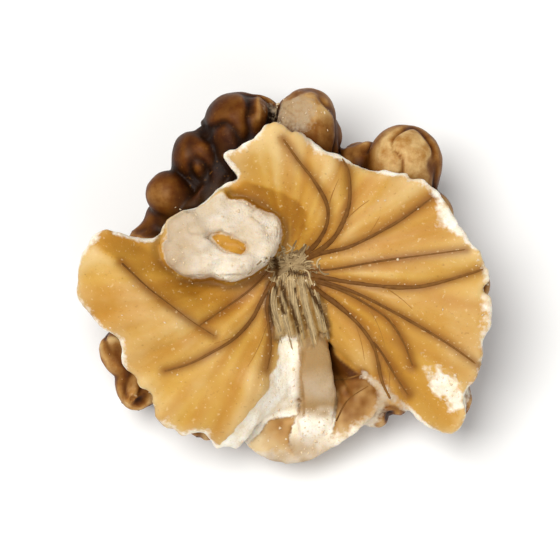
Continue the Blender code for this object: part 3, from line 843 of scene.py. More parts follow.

# %% Painted shade on the golden skin: in furrows, the trough, and the petal's fold, and less on the crest
PAINTED_SHADE_LINES = [
    # points of the line, width, strength
    ([(-15.6, 2.6), (-12.8, 1.3), (-9.8, -0.5), (-7.2, -1.8), (-5.0, -2.8)], 1.2, 0.3),
    ([(-4.4, 6.2), (-1.8, 4.9), (0.0, 3.9), (1.0, 2.8)], 1.2, 0.4),
    ([(3.0, -1.4), (6.5, -3.4), (8.2, -5.6), (9.2, -8.0)], 1.5, 0.30),
    ([(9.2, -8.6), (11.4, -11.0), (12.8, -13.0)], 1.2, 0.22),
    ([(4.6, 7.6), (4.6, 5.6), (3.4, 2.8)], 0.8, 0.2),
    ([(-2.6, -6.2), (-4.2, -9.0), (-7.0, -12.0)], 1.3, 0.16),
]
CREST = [
    (-17.0, 2.6), (-13.8, 0.4), (-11.5, -1.4), (-9.6, -2.9), (-7.9, -4.2), (-6.0, -5.2), (-4.0, -5.6)
]  # fmt: skip
PETAL_FOLD = [(-5.2, 8.0), (-2.5, 7.3), (-0.5, 6.7), (1.0, 5.7), (2.4, 4.1)]

painted_shade = np.zeros(len(drawn))
for line, width, strength in PAINTED_SHADE_LINES:
    painted_shade = np.maximum(painted_shade, strength * bell(away_from(line), width) * (1 + 0.35 * cloud))
past_crest = face_y - np.interp(face_x, *np.array(CREST).T) + 0.15 * grit
trough = smooth_step(past_crest, 0.0, 0.55) * (1 - smooth_step(past_crest, 2.4, 3.8))
trough *= smooth_step(-face_x, 4.4, 7.5) * (0.36 + 0.3 * smooth_step(-face_x, 9.0, 14.0))
crest = bell(past_crest + 0.7, 0.6) * smooth_step(-face_x, 6.0, 8.0)
painted_shade = np.maximum(painted_shade, trough * (1 + 0.3 * cloud)) - 0.14 * crest
past_fold = np.interp(face_x, *np.array(PETAL_FOLD).T) - face_y + 0.12 * grit
in_fold = smooth_step(past_fold, 0.0, 0.4) * (1 - smooth_step(past_fold, 1.8, 3.2))
in_fold *= (1 - smooth_step(face_x, 1.0, 2.2)) * smooth_step(within, 0.3, 1.0)
painted_shade = np.maximum(painted_shade, 0.6 * in_fold * (1 + 0.3 * cloud))

# %% The skin of the lobe under the notch, pale by its rim, with painted shade in its pocket and a painted shadow beside the blade
SHADED_POCKET = ((-0.8, -13.1), (2.0, 1.4))
SHADOW_BY_BLADE = ((4.5, -7.5), (2.1, 1.5))

lobe_line = smooth_curve(CUP_RIM, 8, closed=True)
lobe = smooth_step(nearest(flat, finer(lobe_line, 160)[:, :2]), 0.0, 0.3)
lobe *= inside(flat, lobe_line[:, :2])
lobe *= np.maximum(smooth_step(-within, 0.1, 0.35), smooth_step(-above, 0.9, 1.3))
lobe *= smooth_step(facing, -0.3, 0.1) * (above > -6) * (1 - on_blade) * (1 - on_break)
lobe_shade = 0.14 + 0.5 * smooth_step(face_x, 1.8, 3.8) * smooth_step(face_y, -14.5, -10.5)
# Painted shade in the pocket, and a painted shadow in the hollow by the blade, under the fan's edge
lobe_shade += 0.5 * round_patch(*SHADED_POCKET) + round_patch(*SHADOW_BY_BLADE)
lobe_shade += 0.32 * grit + 0.18 * cloud

# %% The scar: ribs of dry tissue, and the gaps between them, where shade is painted
SCAR = (0.2, 0.4)
SCAR_GAPS = [
    # points of the line, and the width of the gap
    ([(-1.7, -1.8), (-1.6, -3.2), (-1.35, -4.8)], 0.15),
    ([(-1.05, -1.3), (-0.8, -2.4), (-0.4, -3.5)], 0.15),
    ([(-0.7, -1.0), (-0.1, -2.5), (0.4, -3.8), (0.85, -5.1)], 0.20),
    ([(0.5, -1.5), (0.95, -3.0), (1.5, -4.8)], 0.12),
    ([(1.4, -1.2), (2.2, -2.4), (2.9, -3.6), (3.3, -4.7)], 0.18),
    ([(-1.1, 0.9), (-1.0, 0.3), (-1.1, -0.4)], 0.20),
    ([(0.1, -0.1), (0.7, -0.25), (1.4, -0.35)], 0.17),
]


def in_gaps(xy):
    """1 in the middle of the gaps, falling off as a bell curve."""
    found = [bell(nearest(xy, open_line(line, steps=12, count=50)), width) for line, width in SCAR_GAPS]
    return np.maximum.reduce(found)


gap = in_gaps(flat) * smooth_step(above, -1.6, -1.1)
strands = np.vstack([smooth_curve(ends, 40, closed=False) for ends in STRAND_LINES])
strand_away = nearest(flat, strands)
bundle = smooth_step(0.85 - strand_away + 0.25 * grit, 0.0, 0.35) * smooth_step(above, -1.4, -1.0)
rib = smooth_step(0.44 - strand_away + 0.2 * grit, 0.0, 0.3) * bundle
rib *= smooth_step(-face_y, 0.2, 1.4) * (1 - gap)
# Painted shade along the foot of the bridge
shade_at_ring_foot = bell(past_rim - 0.4, 0.4) * smooth_step(-above, -1.2, -0.2)

# %% All bare flesh, with the thin edge of the face, but not where the edge meets the lobe
EDGE_ENDS_NEAR = (3.0, -6.8)

edge_of_sheet = smooth_step(-np.abs(within), -0.55, -0.1) * smooth_step(above, -1.7, -1.2)
edge_of_sheet *= smooth_step(cloud + 0.6 * grit, -0.8, 0.1)
edge_of_sheet *= smooth_step(np.hypot(*(flat - EDGE_ENDS_NEAR).T), 3.1, 3.9)
bare = np.maximum.reduce([on_ring, on_break, worn, 0.95 * edge_of_sheet, on_blade])
print("bare flesh:", int((bare > 0.5).sum()), "points")

# %% [markdown]
# ## Veins
#
# Bundles of vessels fed the seed through the scar, and dried to dark brown lines in the
# skin. They leave the scar together and bend apart towards the rim. A line on a texture
# would go soft at this size, so each vein is a thin, flattened cord laid on the skin by
# rays cast down on it. A soft brown stain in the skin beside each one ties it in.

# %% The veins of the inner face, from the scar outwards, with their half widths
FACE_VEINS = [
    ([(1.4, 0.9), (2.6, 1.4), (5.1, 2.0), (8.4, 3.7), (10.2, 4.9), (11.7, 6.0)], 0.17),
    ([(1.6, 0.0), (3.6, 0.1), (7.7, 0.8), (12.2, 1.4), (14.4, 1.7)], 0.09),
    ([(1.5, -0.3), (5.1, -1.0), (8.9, -1.4), (11.5, -1.2), (15.3, -0.1), (16.2, 0.3)], 0.20),
    ([(1.6, -0.6), (5.1, -1.7), (8.9, -3.6), (12.8, -5.9), (15.6, -7.9)], 0.16),
    ([(2.2, -0.9), (4.4, -1.7), (6.4, -2.8), (8.2, -4.1), (9.4, -5.9), (10.2, -7.9)], 0.13),
    ([(1.8, -1.2), (4.3, -3.1), (6.1, -4.9), (7.1, -6.6), (7.7, -9.2), (8.4, -10.7)], 0.21),
    ([(6.9, -5.9), (7.7, -6.9), (8.9, -8.9), (9.9, -10.4)], 0.11),
    ([(1.6, 1.1), (3.0, 2.0), (4.1, 3.3), (4.9, 5.4), (4.9, 7.9), (4.3, 9.2)], 0.20),
    ([(1.3, 1.3), (2.4, 2.4), (3.1, 3.8), (3.1, 5.4), (2.0, 7.4), (0.8, 8.9), (-0.5, 10.7)], 0.18),
    ([(-1.2, -0.9), (-1.8, -3.0), (-1.5, -6.1), (-1.8, -8.2)], 0.16),
    ([(-1.4, -0.8), (-2.3, -2.6), (-3.1, -4.1), (-4.6, -5.7), (-6.6, -6.9), (-8.2, -7.7),
      (-10.2, -8.3)], 0.17),
    ([(-13.6, 0.6), (-11.5, -1.4), (-9.6, -2.9), (-7.9, -4.2), (-6.1, -5.4)], 0.07),
    ([(-1.4, 0.2), (-3.2, -1.6), (-5.4, -3.2), (-7.4, -4.6)], 0.09),
    ([(3.7, -9.2), (4.8, -9.0), (6.1, -8.6)], 0.09),
    ([(3.9, -12.6), (4.9, -10.8), (6.6, -9.6)], 0.06),
]

# %% Vein lines, and the faint branches that leave them
BRANCHES_PER_VEIN = 1

chance = np.random.default_rng(41)


def face_vein_lines():
    """Each vein, and faint branches that leave it at 14 to 26 degrees to either side, and
    bend away. A branch is a straight line plus a square term sideways."""
    lines = []
    for points, half in FACE_VEINS:
        main = open_line(points, steps=14, count=80)
        lines.append((main, half, 0.0))
        for k in range(BRANCHES_PER_VEIN if half > 0.1 and main[0, 1] > -6 else 0):
            at = int(80 * (0.34 + 0.24 * k + 0.1 * chance.random()))
            ahead = main[at + 1] - main[at]
            ahead /= np.linalg.norm(ahead)
            turn = math.radians(chance.uniform(14, 26)) * (1 if (k + len(lines)) % 2 else -1)
            c, s = math.cos(turn), math.sin(turn)
            aim = np.array([ahead[0] * c - ahead[1] * s, ahead[0] * s + ahead[1] * c])
            side = np.array([-aim[1], aim[0]])
            t = np.linspace(0, 1, 26)[:, None] * chance.uniform(2.2, 4.6)
            lines.append((main[at] + aim * t + side * 0.05 * np.sign(turn) * t**2, 0.045, 1.0))
    return lines


vein_lines = face_vein_lines()
strong = np.vstack([line for line, half, faint in vein_lines if not faint])
from_vein = nearest(flat, strong)
stain = bell(from_vein, 0.46) * inner
print(len(vein_lines), "veins and branches on the face")

# %% [markdown]
# ## Relief
#
# The remeshed skin is still too smooth. Real skin has shallow waves of a few millimetres,
# fine wrinkles that run out from the scar, and on the back a coarser, knobbly relief where
# the seed pressed against the shell. Bare flesh breaks in grains. Every point moves along
# its normal by sums of noise, with a height that depends on the kind of surface.

# %% Noise that runs out from the scar in rays
rays = np.column_stack([np.arctan2(face_y, face_x) * 9, np.hypot(face_x, face_y) / 5, 0 * face_x])
wrinkle = noise(rays, 1.0, 21) * 0.6 + noise(rays * (2.2, 1.4, 1), 1.0, 22) * 0.4
fine_wrinkle = 0.03 * noise(rays * (4.5, 2.6, 1), 1.0, 33) + 0.02 * noise(drawn, 0.6, 34)

# %% Relief of the inner face: waves, wrinkles, and a furrow along each vein
lift = 0.07 * noise(drawn, 3.2, 23) + 0.035 * noise(drawn, 1.3, 24) + fine_wrinkle
lift += 0.09 * np.clip(np.hypot(face_x, face_y) / 6, 0, 1) * wrinkle
lift += 0.11 * (1 - bell(from_vein, 1.5)) - 0.10 * bell(from_vein, 0.6)

# %% Relief of the back, of bare flesh, and of the bridge
folded = noise(drawn, 4.2, 25) + 0.3 * noise(drawn, 1.8, 26)
knobbly = 0.16 * np.abs(folded) - 0.24 * bell(folded, 0.11) + 0.05 * noise(drawn, 0.9, 29)
grains = 0.09 * noise(drawn, 0.9, 27) + 0.07 * noise(drawn, 0.5, 28) - 0.05
lip = 0.16 * bell(slit - 1.45, 0.3)
cracks = 0.15 * noise(drawn, 1.7, 35) - 0.22 * bell(noise(drawn, 1.5, 36), 0.07)
lift = (inner * lift + (1 - inner) * knobbly) * (1 - bare) + bare * grains + on_ring * (lip + cracks)

# %% A groove between the break and the blade, and the gaps of the scar
GROOVE_LINE = [(1.0, -6.9), (0.75, -8.4), (0.85, -10.2), (1.05, -12.0)]

groove = bell(away_from(GROOVE_LINE), 0.24) * (above > -2.6) * smooth_step(facing, 0.0, 0.4)
lift -= 0.32 * groove + 0.3 * gap
print("relief from", round(lift.min(), 2), "to", round(lift.max(), 2), "mm")

# %% Move each point along its normal, and measure how hollow each place is
drawn = drawn + out * lift[:, None]
move(skin, drawn)
out = normals(skin)
hollow_fine = ((neighbour_mean(skin, drawn, rounds=10) - drawn) * out).sum(axis=1)
hollow_wide = ((neighbour_mean(skin, drawn, rounds=90) - drawn) * out).sum(axis=1)


# %% Numbers for the shader, one for each point
def keep(mesh, name, values):
    """Stores one number for each point as a named attribute that a shader can read."""
    layer = mesh.attributes.new(name, "FLOAT", "POINT")
    layer.data.foreach_set("value", np.clip(values, 0, 1).astype(np.float32))


SHADY_SIDE = ((-7.0, 9.8), 6.5)
PAINTED_HIGHLIGHT_KNOB = ((9.3, 10.6), 2.6)
WORN_KNOB = ((0.6, 13.4), 3.0)
DRY_EDGES = [((7.4, -10.8), 2.6), ((0.7, -15.5), (3.91, 1.7))]

# A painted highlight on the upward-facing top of one knob of the back
painted_highlight = round_patch(*PAINTED_HIGHLIGHT_KNOB) * smooth_step(facing, 0.2, 0.9)
# Painted shade on the back: darker where it turns away from the top, on the shady side at the top left,
# and in its hollows; the painted highlight lightens it
painted_shade_of_back = 0.44 + 0.22 * (1 - smooth_step(facing, 0.1, 0.95)) + 0.46 * round_patch(*SHADY_SIDE, power=4)
tip_of_blade = smooth_step(-face_y + 0.5 * grit, 11.2, 12.6)
dried_and_shaded = [
    by_blade * (1 - tip_of_blade) * (1 + 0.25 * cloud),
    # The ring is drier flesh, with its left side painted darker as shade
    on_ring * (0.34 + 0.45 * smooth_step(-face_x, 5.0, 9.5) + 0.2 * cloud),
    0.85 * round_patch(*WORN_KNOB, power=4),
    *[(0.7 + 0.35 * grit) * round_patch(*edge, power=4) for edge in DRY_EDGES],
]
near_scar = round_patch(SCAR, (1.7, 1.3)) * (above > -1.2)
# Darker skin round the scar is its own colour; the gaps, the skin under the fibres and the bridge's foot
# get painted shade
dark = np.maximum.reduce([0.6 * near_scar, 0.75 * bundle, 1.3 * gap, 0.5 * shade_at_ring_foot])
# A hollow is divided by the depth in millimetres that would take its mark from 0 to 1
marks = {
    "inner": inner,
    "bare": bare,
    "stain": stain,
    # the groove's colour is painted shade
    "groove": groove * (0.9 + 0.5 * grit),
    "hollow": 0.36 + hollow_wide / 1.7 + hollow_fine / 0.7 + painted_shade,
    "painted_shade_of_back": painted_shade_of_back - 0.5 * painted_highlight + hollow_wide / 2.3 + hollow_fine / 0.5,
    "streak": 0.5 + 0.9 * noise(rays * (1.6, 0.8, 1), 1.0, 51),
    "aged_and_shaded": np.maximum.reduce(dried_and_shaded),
    "rib": rib * (0.8 + 0.4 * grit),
    "lobe": lobe,
    "lobe_shade": lobe_shade,
    "scar": dark * (1 - 0.8 * on_ring),
}
for name, values in marks.items():
    keep(skin, name, values)
print("marks:", {name: round(float(np.clip(values, 0, 1).mean()), 3) for name, values in marks.items()})

# %% [markdown]
# ## Into the solid's place
#
# Everything so far is drawn round the scar. The finished kernel takes the solid's box: the
# drawn box is stretched on it, by about a percent, and the lowest folds are cut level
# where they rest, as on the solid.

# %% From the drawing to the solid's own frame
FOOT_CUT = 0.45
drawn_low, drawn_high = drawn.min(axis=0), drawn.max(axis=0)
goal_low = low_corner - (0, 0, FOOT_CUT)
stretch = (high_corner - goal_low) / (drawn_high - drawn_low)
print("stretch", np.round(stretch, 3))


def in_place(points):
    """Drawn millimetres as the solid's, kept inside its box and above the resting plane."""
    moved = goal_low + (points - drawn_low) * stretch
    return np.clip(moved, low_corner, high_corner)


print("the scar's place in the solid's frame, mm:", np.round(in_place(np.zeros((1, 3))), 2))


def piece(name, mesh, material):
    """A finished piece at the origin, smooth, with its material, riding on the one body."""
    obj = bpy.data.objects.new(name, mesh)
    bpy.context.scene.collection.objects.link(obj)
    mesh.materials.clear()
    mesh.materials.append(material)
    mesh.shade_smooth()
    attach(obj, "root")
    return obj


# %% Rays cast down on the skin
corner_index = np.empty(len(skin.loops), int)
skin.loops.foreach_get("vertex_index", corner_index)
skin_tree = BVHTree.FromPolygons(drawn.tolist(), corner_index.reshape(-1, 4).tolist())
DOWN = Vector(tip_forward([0, 0, -1.0]))


def laid_on_face(xy):
    """Where rays cast straight down on the face at the given places hit it, and its normals."""
    starts = tip_forward(np.column_stack([xy, np.full(len(xy), 9.0)]))
    hits = [skin_tree.ray_cast(Vector(start), DOWN) for start in starts]
    return tuple(np.array([hit[k] for hit in hits if hit[0]]) for k in (0, 1))


def settle(line, rounds):
    """Smooths a line by the mean of neighbours, with its ends held."""
    for _ in range(rounds):
        line = np.vstack([line[:1], (line[:-2] + line[1:-1] * 2 + line[2:]) / 4, line[-1:]])
    return line


# %% Thin cords on the skin
class Cords:
    """Gathers many thin tubes, and their shades, for one mesh."""

    def __init__(self):
        self.points, self.faces, self.shades, self.count = [], [], [], 0

    def add(self, line, up, radii, around, flat, shade):
        """A tube whose flat side lies on the skin. Its sideways vector is the cross product
        of the way ahead and the way up."""
        if len(line) < 4:
            return
        rings = along_line(line, np.cross(np.gradient(line, axis=0), up), around, radii, flat)
        self.points.append(rings.reshape(-1, 3))
        self.faces.append(ring_quads(len(line), around)[:, ::-1] + self.count)
        self.shades.append(np.repeat(np.broadcast_to(shade, len(line)), around))
        self.count += len(line) * around

    def mesh(self, name):
        """One mesh with closed, rounded ends and outward faces."""
        made = bpy.data.meshes.new(name)
        made.from_pydata(in_place(np.vstack(self.points)) * MM, [], np.vstack(self.faces))
        keep(made, "shade", np.concatenate(self.shades))
        outward(made, weld_mm=0.002)
        return made


# %% Lay the veins of the face, thinner towards the rim
face_cords = Cords()
for xy, half, faint in vein_lines:
    spots, up = laid_on_face(xy)
    if len(spots) < 6:
        continue
    line = settle(spots, rounds=3)
    t = np.linspace(0, 1, len(line))
    swell = 1 + 0.3 * noise(line, 1.4, 31)
    radii = ball_ends(line, 1.2 * half * (1 - 0.62 * t) * swell)
    shade = 0.2 + 0.6 * faint + 0.25 * t
    face_cords.add(line, up, np.maximum(radii, 0), around=8, flat=0.45, shade=shade)
print("face veins:", face_cords.count, "points")

# %% Lay the veins of the back, by rays cast inwards at the bowl's middle
BACK_VEINS = 26
BACK_VEIN_HALF = 0.13
BOWL_MIDDLE = Vector((0.0, 0.0, -1.0))

back_cords = Cords()
for k in range(BACK_VEINS):
    t = np.linspace(0.12, 0.97, 90)
    angle = 2 * math.pi * (k + 0.35 * chance.random()) / BACK_VEINS
    angle = angle + 0.35 * np.sin(3.0 * t + 2.4 * k) * t + 0.10 * np.sin(11 * t + 1.7 * k)
    path = back_point(t * np.cos(angle), t * np.sin(angle))
    starts = [BOWL_MIDDLE + (Vector(p) - BOWL_MIDDLE) * 2.2 for p in path]
    hits = [skin_tree.ray_cast(start, BOWL_MIDDLE - start) for start in starts]
    line = settle(np.array([hit[0] for hit in hits if hit[0]]), rounds=2)
    up = np.array([hit[1] for hit in hits if hit[0]])
    radii = ball_ends(line, BACK_VEIN_HALF * (0.55 + 0.45 * np.linspace(0, 1, len(line))))
    back_cords.add(line, up, radii, around=7, flat=0.5, shade=0.6)
print("back veins:", back_cords.count, "points")

# %% [markdown]
# ## The scar
#
# At the scar the vessels end in dry, grey-brown tissue. Its long fibres hang down in a fan
# towards the notch, light and dark side by side, and a shade for each thin tube gives the
# streaks. In the middle, short curled fibres lie matted over broad ribbons. All are painted
# darker where they cross a gap, as shade.

# %% Long fibres down the ribs of the scar
RIB_FIBRES = 80
RIB_POINTS = 48

scar_cords = Cords()
for k in range(RIB_FIBRES):
    ends = np.array(STRAND_LINES[k % len(STRAND_LINES)])
    rib_line = open_line([*ends, 1.3 * ends[-1] - 0.3 * ends[-2]], steps=12, count=RIB_POINTS)
    ahead = np.gradient(rib_line, axis=0)
    aside = np.column_stack([-ahead[:, 1], ahead[:, 0]]) / np.linalg.norm(ahead, axis=1)[:, None]
    t = np.linspace(0, 1, RIB_POINTS)
    stray = chance.normal(0, 0.17) * (1 - 0.35 * t) + 0.06 * np.sin(chance.uniform(4, 9) * t + k)
    first, last = (int(RIB_POINTS * chance.uniform(*share)) for share in ((0, 0.4), (0.62, 1)))
    spots, up = laid_on_face((rib_line + aside * stray[:, None])[first:last])
    t = np.linspace(0, 1, len(spots))
    line = settle(spots, rounds=3) + up * (chance.uniform(0.0, 0.07) * np.sin(math.pi * t))[:, None]
    radii = ball_ends(line, chance.uniform(0.03, 0.09) * (1 - 0.4 * t))
    # Painted shade where the fibre crosses a gap
    shade = chance.uniform(0.4, 1.0) - in_gaps(untipped(line)[:, :2])
    scar_cords.add(line, up, radii, around=6, flat=0.6, shade=shade)
print("long fibres:", scar_cords.count, "points")

# %% Broad ribbons round the middle of the scar
HUB_RIBBONS = 13

for k in range(HUB_RIBBONS):
    aim = math.radians(-25 + 250 * k / (HUB_RIBBONS - 1) + chance.uniform(-7, 7))
    t = np.linspace(0, 1, 30)
    bend = aim + chance.uniform(-0.5, 0.5) * t
    reach = 0.2 + chance.uniform(1.2, 2.1) * t
    spots, up = laid_on_face(SCAR + np.column_stack([np.cos(bend), np.sin(bend)]) * reach[:, None])
    t = np.linspace(0, 1, len(spots))
    line = settle(spots, rounds=4)
    swell = 1 + 0.3 * noise(line, 0.7, 72)
    radii = ball_ends(line, chance.uniform(0.16, 0.3) * (1 - 0.75 * t) * swell)
    # Darker towards the end, and painted shade where the ribbon crosses a gap
    shade = chance.uniform(0.45, 0.8) - 0.35 * t - 0.8 * in_gaps(untipped(line)[:, :2])
    scar_cords.add(line, up, radii, around=8, flat=0.5, shade=shade)
print("with ribbons:", scar_cords.count, "points")

# %% Short curled fibres over them
HUB_FIBRES = 150
HUB_SPREAD = (0.9, 0.6)

for _ in range(HUB_FIBRES):
    from_hub = chance.normal(0, 1, 2) * HUB_SPREAD
    t = np.linspace(-1, 1, 20)
    aim = math.atan2(from_hub[1], from_hub[0]) + chance.normal(0, 1.0)
    curl = aim + t * chance.uniform(-0.7, 0.7)
    reach = chance.uniform(0.25, 0.7) * t
    from_middle = np.column_stack([np.cos(curl), np.sin(curl)]) * reach[:, None]
    spots, up = laid_on_face(SCAR + from_hub + from_middle)
    hump = chance.uniform(-0.03, 0.05) * np.cos(np.linspace(-1.5, 1.5, len(spots)))
    line = settle(spots, rounds=3) + up * hump[:, None]
    radii = ball_ends(line, np.full(len(line), chance.uniform(0.03, 0.085)))
    # Painted shade where the fibre crosses a gap
    shade = chance.uniform(0.1, 0.95) - 0.9 * in_gaps(untipped(line)[:, :2])
    scar_cords.add(line, up, radii, around=6, flat=0.6, shade=shade)
print("all scar fibres:", scar_cords.count, "points")

# %% [markdown]
# ## Crumbs
#
# Where flesh broke, grains of it stay behind, and a few specks of dust from the cracking
# lie on the skin. Each is a lump of twenty faces, stretched and turned at random.

# %% Where crumbs lie, and the shape of each
CRUMB_PLACES = [
    # middle, half sizes of the area, how many, size
    ((-5.3, 2.5), (4.6, 3.0), 80, 0.09),
    ((-1.0, -9.6), (1.6, 3.6), 34, 0.12),
    ((2.2, -12.8), (1.2, 1.4), 46, 0.09),
    ((13.0, -9.6), (1.7, 1.3), 30, 0.11),
    ((16.0, 0.0), (0.9, 4.4), 34, 0.11),
    ((0.4, -1.6), (3.2, 2.8), 30, 0.08),
    ((1.2, 13.0), (2.2, 1.6), 24, 0.11),
    ((9.0, -0.5), (6.0, 6.5), 44, 0.07),
    ((-9.0, -4.5), (6.0, 6.0), 34, 0.07),
    ((1.0, -14.6), (3.4, 1.0), 60, 0.08),
]


def twenty_faces():
    """An icosahedron: the corners (0, 1, golden ratio) with all signs, turned through the axes."""
    golden = (1 + math.sqrt(5)) / 2
    corners = np.array([(0, a, b * golden) for a in (-1, 1) for b in (-1, 1)], float)
    corners = np.vstack([np.roll(corners, shift, axis=1) for shift in range(3)])
    corners /= np.linalg.norm(corners[0])
    bm = bmesh.new()
    hull = bmesh.ops.convex_hull(bm, input=[bm.verts.new(p) for p in corners])
    bm.verts.index_update()
    faces = [f for f in hull["geom"] if isinstance(f, bmesh.types.BMFace)]
    shell = np.array([[v.index for v in f.verts] for f in faces])
    bm.free()
    return corners, shell


# %% Crumbs of flesh
def crumbs():
    """One mesh of all crumbs, each stretched along X, Y and Z, dented, turned, and set on the skin."""
    base, shell = twenty_faces()
    points, faces = [], []
    for middle, half_sizes, count, size in CRUMB_PLACES:
        xy = np.array(middle) + chance.uniform(-1, 1, (count, 2)) * half_sizes
        spots, up = laid_on_face(xy)
        for spot in spots:
            turn, _ = np.linalg.qr(chance.normal(size=(3, 3)))
            grown = base * chance.uniform(0.25, 1.4, 3) * chance.uniform(0.55, 1.35, (12, 1))
            grown = grown @ turn * size * min(chance.lognormal(-0.25, 0.45), 1.8)
            faces.append(shell + 12 * len(points))
            points.append(grown + spot)
    made = bpy.data.meshes.new("crumbs")
    made.from_pydata(in_place(np.vstack(points)) * MM, [], np.vstack(faces))
    outward(made)
    return made


crumb_mesh = crumbs()
print("crumbs:", len(crumb_mesh.vertices) // 12)

# %% [markdown]
# ## Materials
#
# The skin is a dried seed coat, a few hundredths of a millimetre thick, full of tannins.
# It is honey gold on the inner face and brown on the back, with a satin gloss, and the
# pale, oily flesh glows through it, which subsurface scattering gives. Colour follows
# shape: shade is painted into the skin, deeper and more orange in hollows, and skin on
# crests is rubbed to beige.

# %% What the shader reads: the marks of the mesh, and noise of four sizes
NOISES = {
    # size in millimetres, detail, roughness
    "blotch": (3.4, 4.0, 0.5),
    "mottle": (1.1, 5.0, 0.6),
    "speckle": (0.32, 3.0, 0.5),
    "grain": (0.16, 3.0, 0.5),
}


def per_mm(size):
    """A noise texture's scale for features of so many millimetres on metre coordinates."""
    return 1 / (size * MM)


skin_material, tree, shader = new_material("dried_seed_skin_and_flesh")
read = {n: node(tree, "ShaderNodeAttribute", {"attribute_name": n}).outputs["Fac"] for n in marks}
spot_at = node(tree, "ShaderNodeTexCoord").outputs["Object"]
for name, (size, detail, roughness) in NOISES.items():
    found = node(tree, "ShaderNodeTexNoise", Vector=spot_at, Scale=per_mm(size), Detail=detail)
    found.inputs["Roughness"].default_value = roughness
    read[name] = found.outputs["Fac"]
print("the shader reads", ", ".join(read))

# %% Three ramps of skin colours, each from rubbed crests to hollows dark with painted shade
RAMPS = {
    # golden on the inner face, brown to nearly black on the back, beige to brown on the lobe; the dark
    # ends carry painted shade
    "gold": ((0.0, "#dcbb7c"), (0.34, "#d0a34f"), (0.6, "#c8963a"), (1.0, "#a4711c")),
    "back": (
        (0.0, "#dcb87c"), (0.24, "#a97a3f"), (0.48, "#754615"), (0.72, "#4a2607"), (1.0, "#241002")
    ),  # fmt: skip
    "lobe": ((0.0, "#d8bf92"), (0.45, "#b78d55"), (0.72, "#855422"), (1.0, "#512a06")),
}

MIDDLE = {"From_Min": 0.3, "From_Max": 0.7}  # the range that most of a noise texture keeps to
CLAMPED_SUM = {"operation": "ADD", "use_clamp": True}

# The gold's ramp is driven by painted shade, darker in hollows and lighter on crests, swung by blotches
# of the skin's own colour
swing = node(tree, "ShaderNodeMapRange", Value=read["blotch"], **MIDDLE, To_Min=-0.16, To_Max=0.16)
gold_shade_and_blotch = node(tree, "ShaderNodeMath", CLAMPED_SUM, _0=read["hollow"], _1=swing.outputs[0])
driven_by = {"gold": gold_shade_and_blotch.outputs[0], "back": read["painted_shade_of_back"], "lobe": read["lobe_shade"]}
ramp_colour = {}
for name, colours in RAMPS.items():
    ramp = node(tree, "ShaderNodeValToRGB", Fac=driven_by[name])
    stops = ramp.color_ramp.elements
    for place, colour in colours:
        stop = stops.new(place) if 0.0 < place < 1.0 else stops[0 if place == 0.0 else -1]
        stop.color = linear(colour)
    ramp_colour[name] = ramp.outputs[0]
print("ramps:", ", ".join(ramp_colour))

# %% Streaks on the gold and mottling on the back, which darken by multiplying
streaky = node(tree, "ShaderNodeMath", {"operation": "MULTIPLY"}, _0=read["streak"], _1=0.55)
mottled = node(tree, "ShaderNodeMapRange", Value=read["mottle"], From_Min=0.38, From_Max=0.66)
for name, share, colour in (("gold", streaky, "#dfbd84"), ("back", mottled, "#cdb088")):
    mixed = node(
        tree, "ShaderNodeMix", {"data_type": "RGBA", "blend_type": "MULTIPLY"},
        _0=share.outputs[0], _6=ramp_colour[name], _7=linear(colour),
    )  # fmt: skip
    ramp_colour[name] = mixed.outputs[2]

# %% How much of each further colour lies on the skin and on the flesh
stained = node(tree, "ShaderNodeMath", {"operation": "MULTIPLY"}, _0=read["stain"], _1=0.75)
scar_colour_and_shade = node(tree, "ShaderNodeMath", {"operation": "MULTIPLY"}, _0=read["scar"], _1=0.85)
# Freckles of dark tannin, and on the inner face pale flecks
speckle = read["speckle"]
freckle = node(tree, "ShaderNodeMapRange", Value=speckle, From_Min=0.64, From_Max=0.76, To_Max=0.4)
fleck = node(tree, "ShaderNodeMapRange", Value=speckle, From_Min=0.37, From_Max=0.29, To_Max=0.36)
fleck = node(tree, "ShaderNodeMath", {"operation": "MULTIPLY"}, _0=fleck.outputs[0], _1=read["inner"])
# Tan grains in fresh flesh, and its darker pits
tan = node(tree, "ShaderNodeMapRange", Value=read["mottle"], From_Min=0.35, From_Max=0.7)
pit = node(tree, "ShaderNodeMapRange", Value=read["grain"], From_Min=0.6, From_Max=0.72, To_Max=0.3)
# Flesh shows through the skin along ragged edges
ragged = node(tree, "ShaderNodeMapRange", Value=speckle, **MIDDLE, To_Min=-0.22, To_Max=0.22)
ragged = node(tree, "ShaderNodeMath", {"operation": "ADD"}, _0=ragged.outputs[0], _1=read["bare"])
ragged = node(tree, "ShaderNodeMapRange", Value=ragged.outputs[0], From_Min=0.25, From_Max=0.85)
bared = ragged.outputs[0]

# %% Colours laid one over the other, by their shares
BLEND = {"data_type": "RGBA"}
LAYERS = [
    ("skin", read["inner"], ramp_colour["gold"]),
    ("skin", read["lobe"], ramp_colour["lobe"]),
    ("skin", stained.outputs[0], linear("#7d4513")),
    # darker round the scar, and painted shade in its gaps, under its fibres and at the bridge's foot
    ("skin", scar_colour_and_shade.outputs[0], linear("#4a2d0e")),
    ("skin", read["rib"], linear("#c4a672")),
    ("skin", freckle.outputs[0], linear("#8b5a22")),
    ("skin", fleck.outputs[0], linear("#ecd3a0")),
    ("flesh", tan.outputs[0], linear("#efdfc0")),
    ("flesh", read["aged_and_shaded"], linear("#a8875a")),
    ("flesh", pit.outputs[0], linear("#ab8453")),
]

colour_of = {"skin": ramp_colour["back"], "flesh": linear("#fff9ec")}
for part, share, over in LAYERS:
    laid = node(tree, "ShaderNodeMix", BLEND, _0=share, _6=colour_of[part], _7=over)
    colour_of[part] = laid.outputs[2]
surface = colour_of["skin"]
